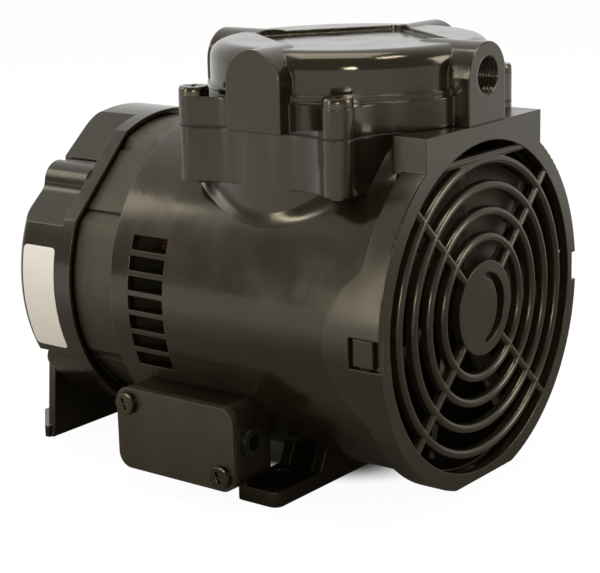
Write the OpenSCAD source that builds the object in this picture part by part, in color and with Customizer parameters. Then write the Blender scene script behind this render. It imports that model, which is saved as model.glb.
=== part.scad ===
// Oil-free air compressor: fan-cooled motor, wobble-piston pump and cylinder head.
// +X runs along the shaft to the fan guard, +Z is up, and the terminal box is on -Y.
// The origin lies between the two front foot holes, on the mounting plane.

/* [Stance] */
// Height of the motor axis above the mounting plane
axis_height = 60; // [58.5:0.5:64]
// Height of the cylinder head joint above the motor axis
joint_rise = 57.6; // [57:0.2:60]
// Distance of the cylinder axis in front of the foot holes
cylinder_ahead = 5; // [3:0.5:6]

/* [Crankcase] */
// Outer radius of the shroud around motor and fan
shroud_r = 55.2; // [55:0.1:55.6]
// Wall of the shroud
shroud_wall = 3; // [2.6:0.1:3.2]
// Length of the shroud behind the foot holes
shroud_back = 52.5; // [50:0.5:55]
// Length of the shroud in front of the foot holes
shroud_front = 50; // [48:0.5:50.5]
// Radius of the cylinder tower
tower_r = 46; // [45:0.5:46.5]
// Wall of the cylinder tower
tower_wall = 3.5; // [3:0.25:5]
// Flat front of the tower, in front of the foot holes
tower_front = 42.8; // [41:0.2:43]
// Thickness of the deck that carries the sleeve
deck_t = 8; // [7:0.5:10]
// Height of the tower's ears under the joint
ear_h = 16.8; // [15:0.1:20]

/* [Vents] */
// Number of slots on each side
vent_count = 7; // [5:1:8]
// Height of one slot
vent_h = 4.7; // [4:0.1:5.2]
// Step from slot to slot
vent_step = 6.4; // [6:0.1:6.6]
// Length of a slot along the shaft
vent_len = 14.8; // [12:0.1:17]
// Rear end of the slots behind the foot holes
vent_back = 44.7; // [44:0.1:46]
// Height of the middle slot above the motor axis
vent_rise = 0; // [0:0.5:3]

/* [Front foot] */
// Length of the foot along the shaft
foot_len = 17; // [16:1:30]
// Part of the foot in front of its holes
foot_ahead = 11; // [9:0.5:13]
// Half of the foot's width
foot_half_w = 51; // [46:0.5:54]
// Thickness of the foot
foot_t = 5; // [4:0.25:6]
// Distance between the front foot holes
foot_hole_gap = 71.2; // [66:0.2:76]
// Radius of a foot hole
foot_hole_r = 3.3; // [2.5:0.1:3.5]
// Thickness of the gussets on the foot
gusset_t = 4; // [3:0.5:5]
// Half of the gussets' width
gusset_half_w = 28; // [24:1:30]

/* [Terminal box] */
// Length of the box along the shaft
box_len = 48.5; // [46:0.5:50]
// Height of the box
box_h = 27.2; // [26:0.2:29]
// Rear end of the box behind the foot holes
box_back = 44.9; // [43:0.1:46]
// Underside of the box above the mounting plane
box_floor = 6.8; // [6:0.2:8]
// How far the box's front stands out past the shroud's side
box_stand = 4.6; // [3.3:0.1:5.8]
// Wall of the box
box_wall = 2.5; // [2:0.1:3]
// Depth of the box's cavity
box_depth = 11.5; // [10:0.5:12]
// Corner radius of the box and its cover
box_corner = 5; // [3:0.5:6]
// Thickness of the cover plate
cover_t = 1.8; // [1.2:0.1:2.4]
// Thickness of the cover gasket
cover_gasket_t = 0.8; // [0.5:0.1:1.2]
// Distance of the cover screws from the cover's edges
cover_screw_inset = 5; // [4.8:0.1:6.6]
// Head radius of a cover screw
cover_head_r = 3.8; // [3:0.05:4]
// Shank radius of a cover screw
cover_shank_r = 1.7; // [1.4:0.1:2]

/* [Motor] */
// Width of the lamination band between shroud and end bell
band_w = 20.2; // [18:0.2:23]
// Length of the lamination stack
stack_len = 27; // [25:0.5:28]
// Outer radius of the lamination stack
stack_r = 51.2; // [51:0.1:52]
// Distance of the stack's corner flats from the motor axis
stack_flat_r = 48.2; // [48:0.1:49]
// Radius of the rotor
rotor_r = 26; // [24:0.25:26.5]
// Air gap between rotor and stack
air_gap = 0.5; // [0.4:0.05:0.8]
// Number of slots in the stack
slot_count = 24; // [18:2:24]
// Inner radius of the slots
slot_in_r = 29.5; // [29:0.25:30.5]
// Outer radius of the slots
slot_out_r = 39.5; // [38:0.25:40]
// Width of a slot
slot_w = 3.4; // [2.6:0.1:3.6]
// Radius of the through-bolt circle
bolt_circle_r = 45.5; // [45.4:0.1:46]
// Radius of a through bolt
bolt_r = 2; // [1.8:0.05:2.2]
// Radius of the bosses that take the through bolts
bolt_boss_r = 4.6; // [4.2:0.1:4.8]
// Radius of the shaft at the bearings and the pump
shaft_r = 4; // [3.8:0.05:4.1]
// Radius of the shaft inside the rotor
rotor_seat_r = 6; // [5.5:0.1:7]

/* [End bell] */
// Length of the end bell
bell_len = 24.8; // [23:0.2:28]
// How far the end bell stays inside the shroud's radius
bell_step = 1.7; // [0.7:0.1:2.2]
// Wall of the end bell
bell_wall = 3; // [2.5:0.25:3.5]
// Distance of the upper corner flats from the motor axis
bell_flat_r = 47.3; // [46.8:0.1:48]
// Distance of the flats on the bell's front rim from the motor axis
rim_flat_r = 50.2; // [49.8:0.1:50.5]
// Length of the bell's front rim
rim_len = 5.5; // [4.5:0.5:7]
// Radius of the lumps over the upper through bolts
lump_r = 7; // [6.5:0.25:7.5]
// Depth of the notches in front of the lower through bolts
notch_depth = 4; // [3:0.25:4.5]
// Rounding of the end bell's rear edge
bell_round = 3.2; // [2.8:0.1:4]
// Length of the blank label round the bell
label_arc_deg = 39; // [30:1:42]
// Width of the blank label along the shaft
label_w = 14.5; // [12:0.5:15]
// Thickness of the blank label
label_t = 0.2; // [0.15:0.05:0.3]

/* [Rear foot] */
// Thickness of the bracket's upright
rear_web_t = 3; // [2.5:0.25:4]
// Half width of the upright
rear_web_half_w = 40.2; // [39:0.1:42]
// How far the web's top edge stays below the two lower bolts
rear_web_drop = 1.3; // [0:0.1:3]
// Thickness of the bracket's base
rear_base_t = 4; // [3:0.25:5]
// Length of the base behind the upright
rear_base_len = 13.5; // [12:0.5:16]
// Distance between the rear foot holes
rear_hole_gap = 40; // [34:1:44]

/* [Fan and guard] */
// Front face of the guard, in front of the foot holes
guard_face = 55.5; // [54.5:0.1:57]
// How far the guard's skirt stands out past the shroud
guard_lap = 2.8; // [2.6:0.1:3.2]
// Wall of the guard's skirt
guard_wall = 2.4; // [1.8:0.1:2.5]
// Thickness of the guard's face
guard_t = 3; // [2.5:0.1:3.4]
// Radius of the guard's opening
opening_r = 52.5; // [51.5:0.1:53]
// Radius of the guard's centre disc
disc_r = 15; // [13:0.5:17]
// Number of rings in the grille
ring_count = 4; // [3:1:5]
// Radius of the innermost ring
ring_in_r = 22.3; // [20:0.1:24]
// Radius of the outermost ring
ring_out_r = 46.5; // [45:0.1:48]
// Width of a ring
ring_w = 3; // [2:0.1:3.4]
// Width of a rib
rib_w = 2.8; // [1.8:0.1:3]
// Half width of the block on the guard's top
block_half_w = 33; // [30:0.5:36]
// Depth of the block along the shaft
block_depth = 11.7; // [9:0.1:11.9]
// Depth of the skirt above and below its side lobes
skirt_short = 8.5; // [7:0.25:9]
// Depth of the skirt at its side lobes
skirt_long = 20.6; // [18:0.1:21]
// Radius of a side lobe's edge
lobe_r = 29; // [26:0.5:32]
// How far the left lobe sits below the axis, and the right one above it
lobe_drop = 2; // [0:0.5:3]
// Flat under the guard, below the motor axis
guard_flat = 55.3; // [54.5:0.1:56]
// Length of the snap windows along the shaft
window_len = 11; // [9:0.5:12]
// Height of the snap windows
window_h = 9.6; // [8:0.2:11]
// Number of fan blades
blade_count = 7; // [5:1:8]
// Radius of the fan
fan_r = 49.5; // [46:0.5:50]
// Depth of the fan along the shaft
fan_depth = 11; // [9:0.5:12]
// Setting angle of the blades
blade_angle = 34; // [24:1:38]

/* [Cylinder head] */
// Radius of the head's flange between the ears
head_r = 46.5; // [45.5:0.5:47]
// Thickness of the head's flange
head_flange_t = 9; // [8:0.5:11]
// Half length of the flange along the shaft, at the ears
ear_half_x = 32.3; // [31:0.1:33.5]
// Half width of the flange, at the ears
ear_half_y = 49.3; // [48:0.1:50]
// Corner radius of the ears
ear_r = 4.8; // [4.2:0.1:5]
// Radius of the dome
dome_r = 44.5; // [43.5:0.1:45]
// Height of the dome above its flange
dome_h = 15; // [14:0.5:18]
// Rounding of the dome's top edge
dome_round = 5.5; // [4:0.5:6.5]
// Half width of the port bosses
boss_r = 10.2; // [9.6:0.1:11]
// Height of the port axis above the joint
port_rise = 15; // [14:0.25:16]
// Distance of the threaded boss faces from the cylinder axis
port_reach = 51; // [50:0.1:52]
// Distance of the blind boss faces from the cylinder axis
blind_reach = 49.8; // [49.5:0.1:51]
// Length of one side of the panel on top
panel_side = 50; // [40:1:52]
// Depth of the panel on top
panel_depth = 1.4; // [1:0.1:1.8]
// Radius of the hollows that blend the ears into the round
ear_hollow_r = 20; // [16:1:24]
// Turn of the panel on top
panel_turn = 53; // [40:1:60]
// Head radius of a head screw
head_screw_r = 4.75; // [4:0.05:4.8]
// Shank radius of a head screw
head_shank_r = 2.5; // [2.2:0.1:2.6]

/* [Port thread] */
// Radius of the thread's crests
port_crest_r = 5.7; // [5.5:0.05:5.9]
// Depth of the thread
port_thread_depth = 0.9; // [0.6:0.05:1.1]
// Pitch of the thread
port_pitch = 1.41; // [1.3:0.01:1.5]
// Number of thread grooves
port_turns = 9; // [7:1:9]
// Share of the outlet's thread size that the intake's thread has
intake_share = 0.75; // [0.7:0.01:0.8]

/* [Pump] */
// Throw of the eccentric, half of the stroke
crank_throw = 4.2; // [3:0.1:4.4]
// Radius of the piston cup
cup_r = 17.4; // [16:0.1:17.5]
// Radius of the cylinder bore
bore_r = 22; // [21.9:0.1:23]
// Wall of the cylinder sleeve
sleeve_wall = 3; // [2.5:0.25:4]
// Length of the cylinder sleeve
sleeve_len = 29.5; // [27:0.5:31]
// Piston top under the joint, at the top of the stroke
top_gap = 3.2; // [3:0.1:4]
// Radius of the eccentric's journal
journal_r = 10; // [9.6:0.1:10.4]
// Width of the connecting rod
rod_w = 9; // [8:0.5:10]
// Outer radius of the rod's big end
big_end_r = 20; // [19:0.25:21]
// Radius of the counterweight
counter_r = 24; // [20:0.5:28]
// Thickness of the counterweight
counter_t = 8; // [6:0.5:9]
// Thickness of the valve plate
plate_t = 4.5; // [4:0.25:5]
// Radius of the valve plate
plate_r = 30.5; // [30:0.25:31.5]
// Opening angle of the reeds
reed_angle = 4; // [2:0.5:5]

/* [Front windings] */
// Thickness of the wound bundle's strand
strand_d = 2; // [1.6:0.1:2.1]
// Step between strands
strand_step = 2.55; // [2.5:0.05:2.6]
// Radius of the innermost layer
wind_in_r = 31.9; // [31.5:0.1:32]
// Number of layers
wind_layers = 4; // [2:2:4]
// Number of loops in one layer
wind_nest = 3; // [2:1:3]
// Half of the angle that a bundle spans
wind_half_deg = 60; // [50:1:62]

/* [Hidden] */
$fn = 96;
small_fn = 32;
corner_deg = 45;

// Paints and metals
PAINT = "#3b3630";
PLASTIC = "#34302b";
STEEL = "#4a4943";
BRIGHT = "#b9b7b0";
SCREW = "#57524a";
COPPER = "#b4622c";
LABEL = "#e9e7e0";
RUBBER = "#1d1c1b";
BRASS = "#b99a55";
SEAL = "#d8d3c2";

// Overrun of a cut, and the clearance of pieces that are seated in each other
cut = 1;
seat = 0.05;
slip = 0.2;
half = 1 / 2;

// Planes along the shaft
stack_front_x = -shroud_back - band_w + stack_len;
stack_rear_x = -shroud_back - band_w;
bell_rear_x = stack_rear_x - bell_len;
guard_back_x = guard_face - guard_t;
shroud_in_r = shroud_r - shroud_wall;
guard_r = shroud_r + guard_lap;
bell_r = shroud_r - bell_step;
box_reach = shroud_r + box_stand;
joint_z = axis_height + joint_rise;
gasket_t = 0.5;
head_z = joint_z + gasket_t;

// Bearings on the shaft
bearing_w = 7;
bearing_out_r = 11;
bearing_mid_r = 7.5;
bearing_ball_r = 1.9;
bearing_land = 1.5;
bearing_balls = 7;
wall_t = 4;
wind_room = 21;
wall_front_x = stack_front_x + wind_room + wall_t;
bearing_boss_r = bearing_out_r + wall_t;
front_bearing_x = wall_front_x - bearing_w + seat;
rear_pocket_x = bell_rear_x + bell_wall + cut;
washer_t = 0.8;
rear_bearing_x = rear_pocket_x + washer_t + seat;

// Rod bearing on the eccentric's journal
rod_bearing_w = 7;
rod_bearing_half_t = 3;
rod_bearing_out_r = journal_r + 2 * rod_bearing_half_t;
rod_bearing_mid_r = journal_r + rod_bearing_half_t;
rod_ball_r = 1.6;
rod_balls = 12;
rod_land = 1;

// Pump heights at the top of the stroke
pin_z = axis_height + crank_throw;
piston_top_z = joint_z - top_gap;
retainer_t = 2;
cup_t = 0.9;
cup_lip = 2;
rod_plate_t = 3;
rod_top_z = piston_top_z - retainer_t - cup_t;
sleeve_r = bore_r + sleeve_wall;
sleeve_lip = 3.4;
sleeve_flange_r = sleeve_r + sleeve_lip;
sleeve_flange_t = 2.5;
plate_top_z = joint_z + plate_t;

// Screw places
ear_x = ear_half_x - ear_r;
ear_y = ear_half_y - ear_r;
port_z = joint_z + port_rise;
top_z = head_z + head_flange_t + dome_h;
cover_x0 = -box_back;
cover_x1 = box_len - box_back;
cover_z0 = box_floor;
cover_z1 = box_floor + box_h;
cover_face = box_reach + cover_gasket_t + cover_t;

// Draws a profile in the Y-Z plane around the motor axis, growing towards +X
module along(x) {
  translate([x, 0, axis_height]) rotate([90, 0, 90]) children();
}

// Places a child on the cylinder axis at height z
module on_cylinder(z) {
  translate([cylinder_ahead, 0, z]) children();
}

// Repeats a child at the four corners of a rectangle
module corners(x, y) {
  for (sx = [-1, 1]) {
    for (sy = [-1, 1]) {
      translate([sx * x, sy * y]) children();
    }
  }
}

// Repeats a child at the four through bolts
module at_bolts() {
  for (i = [0:3]) {
    rotate(corner_deg + 90 * i) translate([bolt_circle_r, 0]) children();
  }
}

module ring(r_out, r_in) {
  difference() {
    circle(r = r_out);
    circle(r = r_in);
  }
}

module tube(r_out, r_in, len) {
  linear_extrude(len) ring(r_out, r_in);
}

module rounded_rect(w, h, r) {
  union() {
    square([w - 2 * r, h], center = true);
    square([w, h - 2 * r], center = true);
    corners(w * half - r, h * half - r) circle(r = r, $fn = small_fn);
  }
}

// Pan head with a cross recess, sitting on z = 0, with its shank below
head_h_share = 0.6;
recess_len_share = 1.1;
recess_w_share = 0.26;

module pan_screw(head_r, shank_r, shank_len) {
  head_h = head_r * head_h_share;
  edge_h = head_h * half;
  slot_l = head_r * recess_len_share;
  slot_wide = head_r * recess_w_share;
  difference() {
    union() {
      rotate_extrude() {
        intersection() {
          square([head_r, head_h]);
          union() {
            square([head_r, edge_h]);
            translate([head_r * half, edge_h]) circle(r = head_r * half, $fn = small_fn);
            square([head_r * half, head_h]);
          }
        }
      }
      translate([0, 0, -shank_len]) cylinder(r = shank_r, h = shank_len + edge_h);
    }
    for (a = [0, 90]) {
      rotate(a) translate([-slot_l * half, -slot_wide * half, edge_h]) cube([slot_l, slot_wide, head_h]);
    }
  }
}

// Socket set screw along +Z from z = 0
module set_screw(r, len) {
  difference() {
    cylinder(r = r, h = len, $fn = small_fn);
    translate([0, 0, len * half]) cylinder(r = r * half, h = len, $fn = 6);
  }
}

// Deep-groove ball bearing parts, from z = 0 to w
module race(r_out, r_in, w, mid_r, ball_r) {
  groove_r = ball_r + 2 * seat;
  difference() {
    tube(r_out, r_in, w);
    translate([0, 0, w * half]) rotate_extrude() translate([mid_r, 0]) circle(r = groove_r, $fn = small_fn);
  }
}

module ball_set(count, w, mid_r, ball_r) {
  for (i = [0:count - 1]) {
    rotate(360 / count * i) translate([mid_r, 0, w * half]) sphere(r = ball_r, $fn = small_fn);
  }
}

// Crankcase

// Lobe around a head screw, blended into a circle of radius r, seen from above
module ear_lobe(r) {
  reach = norm([ear_x, ear_y]);
  far = r + ear_hollow_r;
  near = ear_r + ear_hollow_r;
  turn = acos((pow(far, 2) + pow(reach, 2) - pow(near, 2)) / (2 * far * reach));
  hollow_x = far * cos(turn);
  hollow_y = far * sin(turn);
  union() {
    translate([ear_x, ear_y]) circle(r = ear_r, $fn = small_fn);
    rotate(atan2(ear_y, ear_x)) difference() {
      polygon([[0, 0], [hollow_x, hollow_y], [reach, 0], [hollow_x, -hollow_y]]);
      for (s = [-1, 1]) {
        translate([hollow_x, s * hollow_y]) circle(r = ear_hollow_r - seat);
      }
    }
  }
}

module ear_outline(r) {
  union() {
    circle(r = r);
    for (sx = [-1, 1]) {
      for (sy = [-1, 1]) {
        scale([sx, sy]) ear_lobe(r);
      }
    }
  }
}

module tower_body() {
  intersection() {
    union() {
      on_cylinder(axis_height) cylinder(r = tower_r, h = joint_rise);
      on_cylinder(joint_z - ear_h) linear_extrude(ear_h) ear_outline(tower_r);
    }
    translate([-shroud_back, -ear_half_y - cut, axis_height]) {
      cube([shroud_back + tower_front, 2 * ear_half_y + 2 * cut, joint_rise]);
    }
  }
}

module tower_hollow() {
  hollow_r = tower_r - tower_wall;
  intersection() {
    on_cylinder(axis_height) cylinder(r = hollow_r, h = joint_rise - deck_t);
    translate([-shroud_back, -hollow_r - cut, axis_height]) {
      cube([shroud_back + tower_front - tower_wall, 2 * hollow_r + 2 * cut, joint_rise]);
    }
  }
}

module foot_shape() {
  foot_r = 3;
  foot_x = foot_ahead - foot_len * half;
  gusset_top = axis_height - sqrt(pow(shroud_r, 2) - pow(gusset_half_w, 2)) + cut;
  translate([foot_x, 0, 0]) linear_extrude(foot_t) rounded_rect(foot_len, 2 * foot_half_w, foot_r);
  for (x = [foot_ahead - gusset_t, foot_ahead - foot_len]) {
    intersection() {
      translate([x, -gusset_half_w, 0]) cube([gusset_t, 2 * gusset_half_w, axis_height]);
      translate([x, 0, 0]) rotate([90, 0, 90]) linear_extrude(gusset_t) {
        polygon([[-gusset_half_w, foot_t - cut], [-gusset_half_w, foot_t],
          [-gusset_half_w + gusset_t, gusset_top], [0, gusset_top + foot_t],
          [gusset_half_w - gusset_t, gusset_top], [gusset_half_w, foot_t],
          [gusset_half_w, foot_t - cut]]);
      }
    }
  }
}

// Outline of the box and its cover, drawn in the X-Z plane, growing towards +Y from y
module box_shape(y, depth, inset) {
  translate([(cover_x0 + cover_x1) * half, y + depth, (cover_z0 + cover_z1) * half]) {
    rotate([90, 0, 0]) linear_extrude(depth) {
      rounded_rect(box_len - 2 * inset, box_h - 2 * inset, box_corner - inset);
    }
  }
}

module at_cover_screws() {
  for (p = [[cover_x0 + cover_screw_inset, cover_z1 - cover_screw_inset],
      [cover_x1 - cover_screw_inset, cover_z0 + cover_screw_inset]]) {
    translate([p[0], -cover_face, p[1]]) rotate([90, 0, 0]) children();
  }
}

box_back_t = 4;
cover_hole_depth = cover_t + cover_gasket_t + box_depth - box_wall;
box_mid_z = box_floor + box_h * half;
grommet_up = 1.2;
grommet_z = box_mid_z + grommet_up;
grommet_y = box_reach - box_depth * half - half;
grommet_neck_r = 3.8;
grommet_bore_r = 2.6;
grommet_flange_r = 4.9;
grommet_flange_t = 1.4;

module box_outer() {
  box_shape(-box_reach, box_depth + box_back_t, 0);
  translate([cover_x0 + box_wall, -box_reach + box_depth, cover_z1 - box_h * half]) {
    cube([box_len - 2 * box_wall, shroud_r * half, box_h * half]);
  }
  translate([foot_ahead - foot_len, -box_reach + box_depth - box_wall, foot_t]) {
    cube([cover_x1 + foot_len - foot_ahead - box_corner, box_back_t, cover_z0 + box_corner - foot_t]);
  }
}

module box_hollow() {
  difference() {
    box_shape(-box_reach - cut, box_depth + cut, box_wall);
    at_cover_screws() {
      translate([0, 0, -cover_face]) cylinder(r = cover_shank_r + box_wall, h = 2 * cover_face);
    }
  }
}

tab_len = 7;
tab_h = 8.4;
tab_step = 2;
tab_sink = 1.2;

module latch_tabs() {
  on_both_sides() {
    translate([guard_back_x - slip - tab_len, tab_sink - guard_r, -lobe_drop - tab_h * half]) {
      cube([tab_len, guard_lap + tab_step - tab_sink, tab_h]);
    }
  }
}

module vents() {
  for (s = [-1, 1]) {
    for (i = [0:vent_count - 1]) {
      z = axis_height + vent_rise + (i - (vent_count - 1) * half) * vent_step;
      translate([-vent_back, s * shroud_r - shroud_r * half * half, z - vent_h * half]) {
        cube([vent_len, shroud_r * half, vent_h]);
      }
    }
  }
}

// Wall that carries the front bearing, with its bolt bosses and air holes
air_holes = 6;
air_hole_r = 7;
air_circle_r = 30;

module wall_shape() {
  along(wall_front_x - wall_t) {
    difference() {
      cylinder(r = shroud_in_r + cut, h = wall_t);
      for (i = [0:air_holes - 1]) {
        rotate(360 / air_holes * i) translate([air_circle_r, 0, -cut]) {
          cylinder(r = air_hole_r, h = wall_t + 2 * cut);
        }
      }
    }
  }
  along(front_bearing_x - seat - cut) cylinder(r = bearing_boss_r, h = bearing_w + seat + 2 * cut);
  along(stack_front_x) linear_extrude(wall_front_x - stack_front_x) {
    at_bolts() {
      circle(r = bolt_boss_r);
      translate([0, -bolt_boss_r]) square([shroud_in_r - bolt_circle_r + cut, 2 * bolt_boss_r]);
    }
  }
}

// The casting is one piece, drawn as barrel, bearing wall, tower, foot and box that meet face to face
module barrel_core(r) {
  along(-shroud_back - cut) cylinder(r = r, h = shroud_back + shroud_front + 2 * cut);
}

module sleeve_seat() {
  on_cylinder(joint_z - deck_t - cut) cylinder(r = sleeve_r + seat, h = deck_t + 2 * cut);
  on_cylinder(joint_z - sleeve_flange_t) cylinder(r = sleeve_flange_r + slip, h = sleeve_flange_t + cut);
}

module crankcase() {
  color(PAINT) difference() {
    union() {
      along(-shroud_back) tube(shroud_r, shroud_in_r, shroud_back + shroud_front);
      latch_tabs();
    }
    tower_body();
    vents();
  }
}

module bearing_wall() {
  color(PAINT) difference() {
    intersection() {
      wall_shape();
      barrel_core(shroud_in_r);
    }
    along(wall_front_x - bearing_w) cylinder(r = bearing_out_r + seat, h = bearing_w + 2 * cut);
    along(stack_front_x - bearing_w) cylinder(r = rotor_seat_r + cut, h = stack_len + shroud_front);
    along(stack_front_x - cut) linear_extrude(wall_front_x - stack_front_x - wall_t) {
      at_bolts() circle(r = bolt_r + seat, $fn = small_fn);
    }
  }
}

module cylinder_tower() {
  color(PAINT) difference() {
    tower_body();
    barrel_core(shroud_in_r);
    tower_hollow();
    sleeve_seat();
    on_cylinder(joint_z - ear_h - cut) corners(ear_x, ear_y) {
      cylinder(r = head_shank_r + seat, h = ear_h + 2 * cut, $fn = small_fn);
    }
  }
}

module front_foot() {
  color(PAINT) difference() {
    foot_shape();
    barrel_core(shroud_r);
    for (s = [-1, 1]) {
      translate([0, s * foot_hole_gap * half, -cut]) cylinder(r = foot_hole_r, h = foot_t + 2 * cut);
    }
  }
}

module terminal_box() {
  color(PAINT) difference() {
    box_outer();
    barrel_core(shroud_r);
    box_hollow();
    at_cover_screws() {
      translate([0, 0, -cover_hole_depth]) {
        cylinder(r = cover_shank_r + seat, h = cover_hole_depth + cut, $fn = small_fn);
      }
    }
    translate([cover_x1 - box_wall - cut, -grommet_y, grommet_z]) {
      rotate([0, 90, 0]) cylinder(r = grommet_neck_r + seat, h = box_wall + 2 * cut);
    }
  }
}

// Motor

seam_in_deg = 14;
seam_out_deg = 19.6;
seam_drop = 1;
slot_mouth_w = 1.2;

// Point at angle a and distance r from the motor axis
function polar(a, r) = [r * cos(a), r * sin(a)];

module stack_profile() {
  seam_in_r = stack_flat_r / cos(seam_in_deg) - seam_drop;
  difference() {
    ring(stack_r, rotor_r + air_gap);
    at_bolts() circle(r = bolt_r + seat, $fn = small_fn);
    for (i = [0:slot_count - 1]) {
      rotate(360 / slot_count * (i + half)) {
        translate([slot_in_r, -slot_w * half]) square([slot_out_r - slot_in_r, slot_w]);
        translate([rotor_r, -slot_mouth_w * half]) square([slot_in_r - rotor_r + seat, slot_mouth_w]);
      }
    }
    for (i = [0:3]) {
      rotate(corner_deg + 90 * i) {
        translate([stack_flat_r, -stack_r]) square([stack_r, 2 * stack_r]);
        for (s = [-1, 1]) {
          scale([1, s]) polygon([polar(seam_in_deg, seam_in_r), polar(seam_in_deg, stack_r + cut),
            polar(seam_out_deg, stack_r + cut), polar(seam_out_deg, stack_r - seat)]);
        }
      }
    }
  }
}

module stator_stack() {
  color(STEEL) along(stack_rear_x) linear_extrude(stack_len) stack_profile();
}

module coil_sides() {
  bar_w = slot_w - 2 * slip;
  bar_h = slot_out_r - slot_in_r - 2 * slip;
  color(COPPER) along(stack_rear_x) linear_extrude(stack_len) {
    for (i = [0:slot_count - 1]) {
      rotate(360 / slot_count * (i + half)) {
        translate([slot_in_r + slip, -bar_w * half]) square([bar_h, bar_w]);
      }
    }
  }
}

// Front windings: each pole is one strand, wound in loops that run along the arc,
// turn back at its ends, spiral out and in again, and climb a layer at each reversal
rings_run = 9;
rings_turn = 3;
rings_loop = 2 * (rings_run + rings_turn);
nest_start = 1.6;
climb_bulge = 0.12;
strand_sides = 6;
wind_half_x = nest_start + (wind_nest - half) * strand_step;
wind_mid_x = stack_front_x + strand_d * half + slip + wind_half_x;
loops = wind_layers * wind_nest;

// How far out the spiral is, in steps, after t loops
function nest_at(t) = let (layer = floor(t / wind_nest), f = t - layer * wind_nest,
  reach = wind_nest - half, g = min(f, reach) + climb_bulge * sin(180 * max(0, f - reach) / half))
  (layer % 2 == 0) ? g : reach - g;
// Which layer the spiral is on, climbing during the last half loop of each layer
function layer_at(t) = let (layer = floor(t / wind_nest), f = t - layer * wind_nest,
  g = max(0, f - (wind_nest - half)) / half) min(layer + g, wind_layers - 1);
// Arc angle and place along the shaft at step k of a loop, at half height b and radius r
function loop_place(k, b, r) =
  k < rings_run ? [wind_half_deg * (1 - 2 * k / rings_run), b] :
  k < rings_run + rings_turn ?
    [-wind_half_deg - (b / r) * 180 / PI * sin(180 * (k - rings_run) / rings_turn),
      b * cos(180 * (k - rings_run) / rings_turn)] :
  k < 2 * rings_run + rings_turn ?
    [-wind_half_deg * (1 - 2 * (k - rings_run - rings_turn) / rings_run), -b] :
    [wind_half_deg + (b / r) * 180 / PI * sin(180 * (k - 2 * rings_run - rings_turn) / rings_turn),
      -b * cos(180 * (k - 2 * rings_run - rings_turn) / rings_turn)];
function strand_point(n) = let (t = n / rings_loop, k = n % rings_loop,
  b = nest_start + nest_at(t) * strand_step, r = wind_in_r + layer_at(t) * strand_step,
  p = loop_place(k, b, r)) [wind_mid_x + p[1], r * sin(p[0]), r * cos(p[0])];
spiral_path = [for (n = [0:(loops - half) * rings_loop - rings_turn]) strand_point(n)];

// The strand's ends leave the bundle and run straight into the stack's face
lead_in_r = rotor_r + strand_d;
lead_out_r = slot_out_r + strand_d * half + strand_step;
lead_rings = 4;
lead_bend = 3;
function lead(x, r, deg) = [x, r * sin(deg), r * cos(deg)];
lead_turn = 4;
lead_bend_steps = [0.35, 0.7];
function bend(t) = lead_bend * sin(90 * t);
// Points from the stack's face to the bend, then the bend to radius r, heading for the point
function lead_path(r0, r1, deg, x1, side) = concat(
  [for (i = [0:lead_rings]) lead(stack_front_x + seat + (x1 - lead_bend - stack_front_x) * i / lead_rings,
    r0, deg + side * lead_turn)],
  [for (t = lead_bend_steps) lead(x1 - lead_bend + bend(t), r0 + (r1 - r0) * t * t,
    deg + side * lead_turn * (1 - t * t * half))]);
lead_0 = lead_path(lead_in_r, wind_in_r, wind_half_deg, wind_mid_x + nest_start, 1);
lead_1 = lead_path(lead_out_r, wind_in_r + (wind_layers - 1) * strand_step, -wind_half_deg,
  wind_mid_x + nest_start, -1);
strand_path = concat(lead_0, spiral_path, [for (i = [len(lead_1) - 1:-1:0]) lead_1[i]]);

function unit(v) = v / norm(v);
function path_dir(path, i) = unit(path[min(i + 1, len(path) - 1)] - path[max(i - 1, 0)]);

// Sweeps a round section along a path whose points circle the motor axis
module swept_tube(path, d, sides) {
  count = len(path);
  points = [for (i = [0:count - 1]) let (t = path_dir(path, i),
    out = unit([0, path[i][1], path[i][2]]), u = unit(out - t * (out * t)), v = cross(t, u))
    for (s = [0:sides - 1]) path[i] + d * half * (u * cos(360 * s / sides) + v * sin(360 * s / sides))];
  sides_faces = [for (i = [0:count - 2]) for (s = [0:sides - 1]) for (h = [0, 1])
    let (a = i * sides + s, b = i * sides + (s + 1) % sides)
    h == 0 ? [a, b, a + sides] : [b, b + sides, a + sides]];
  cap_0 = [for (s = [1:sides - 2]) [0, s + 1, s]];
  last = (count - 1) * sides;
  cap_1 = [for (s = [1:sides - 2]) [last, last + s, last + s + 1]];
  polyhedron(points = points, faces = concat(sides_faces, cap_0, cap_1));
}

// Least gap between stretches of the strand that lie more than a turn apart, on points
last_point = len(strand_path) - 1;
least_gap = min([for (i = [0:last_point]) for (j = [i + rings_turn + 2:1:last_point])
  norm(strand_path[i] - strand_path[j])]) - strand_d;
echo(least_gap_of_the_front_windings = least_gap);

module front_windings() {
  color(COPPER) for (a = [0, 180]) {
    translate([0, 0, axis_height]) rotate([a, 0, 0]) swept_tube(strand_path, strand_d, strand_sides);
  }
}

module rear_windings() {
  wind_out_r = wind_in_r + (wind_layers - 1) * strand_step + strand_d * half;
  wind_len = 12;
  color(COPPER) along(stack_rear_x - slip - wind_len) {
    tube(wind_out_r, wind_in_r - strand_d * half, wind_len);
  }
}

// End bell

flat_turn = 5;
lump_in_r = 43.8;
lump_hollow_r = 4;
lump_x = lump_in_r * cos(flat_turn);
lump_y = -lump_in_r * sin(flat_turn);
flute_r = 1.5;
notch_deg = 124;
notch_up = 7;
notch_down = 3.2;
lip_t = 1.2;
lip_depth = 4;
seat_ring_t = 1.2;
bell_vents = 8;
bell_vent_in = 20;
bell_vent_out = 37;
bell_vent_w = 4;

// Repeats a child on both sides, turned so that +X points out and +Y up at angle a from the top
module at_sides(a) {
  for (s = [-1, 1]) {
    scale([s, 1]) rotate(90 - a) children();
  }
}

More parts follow.
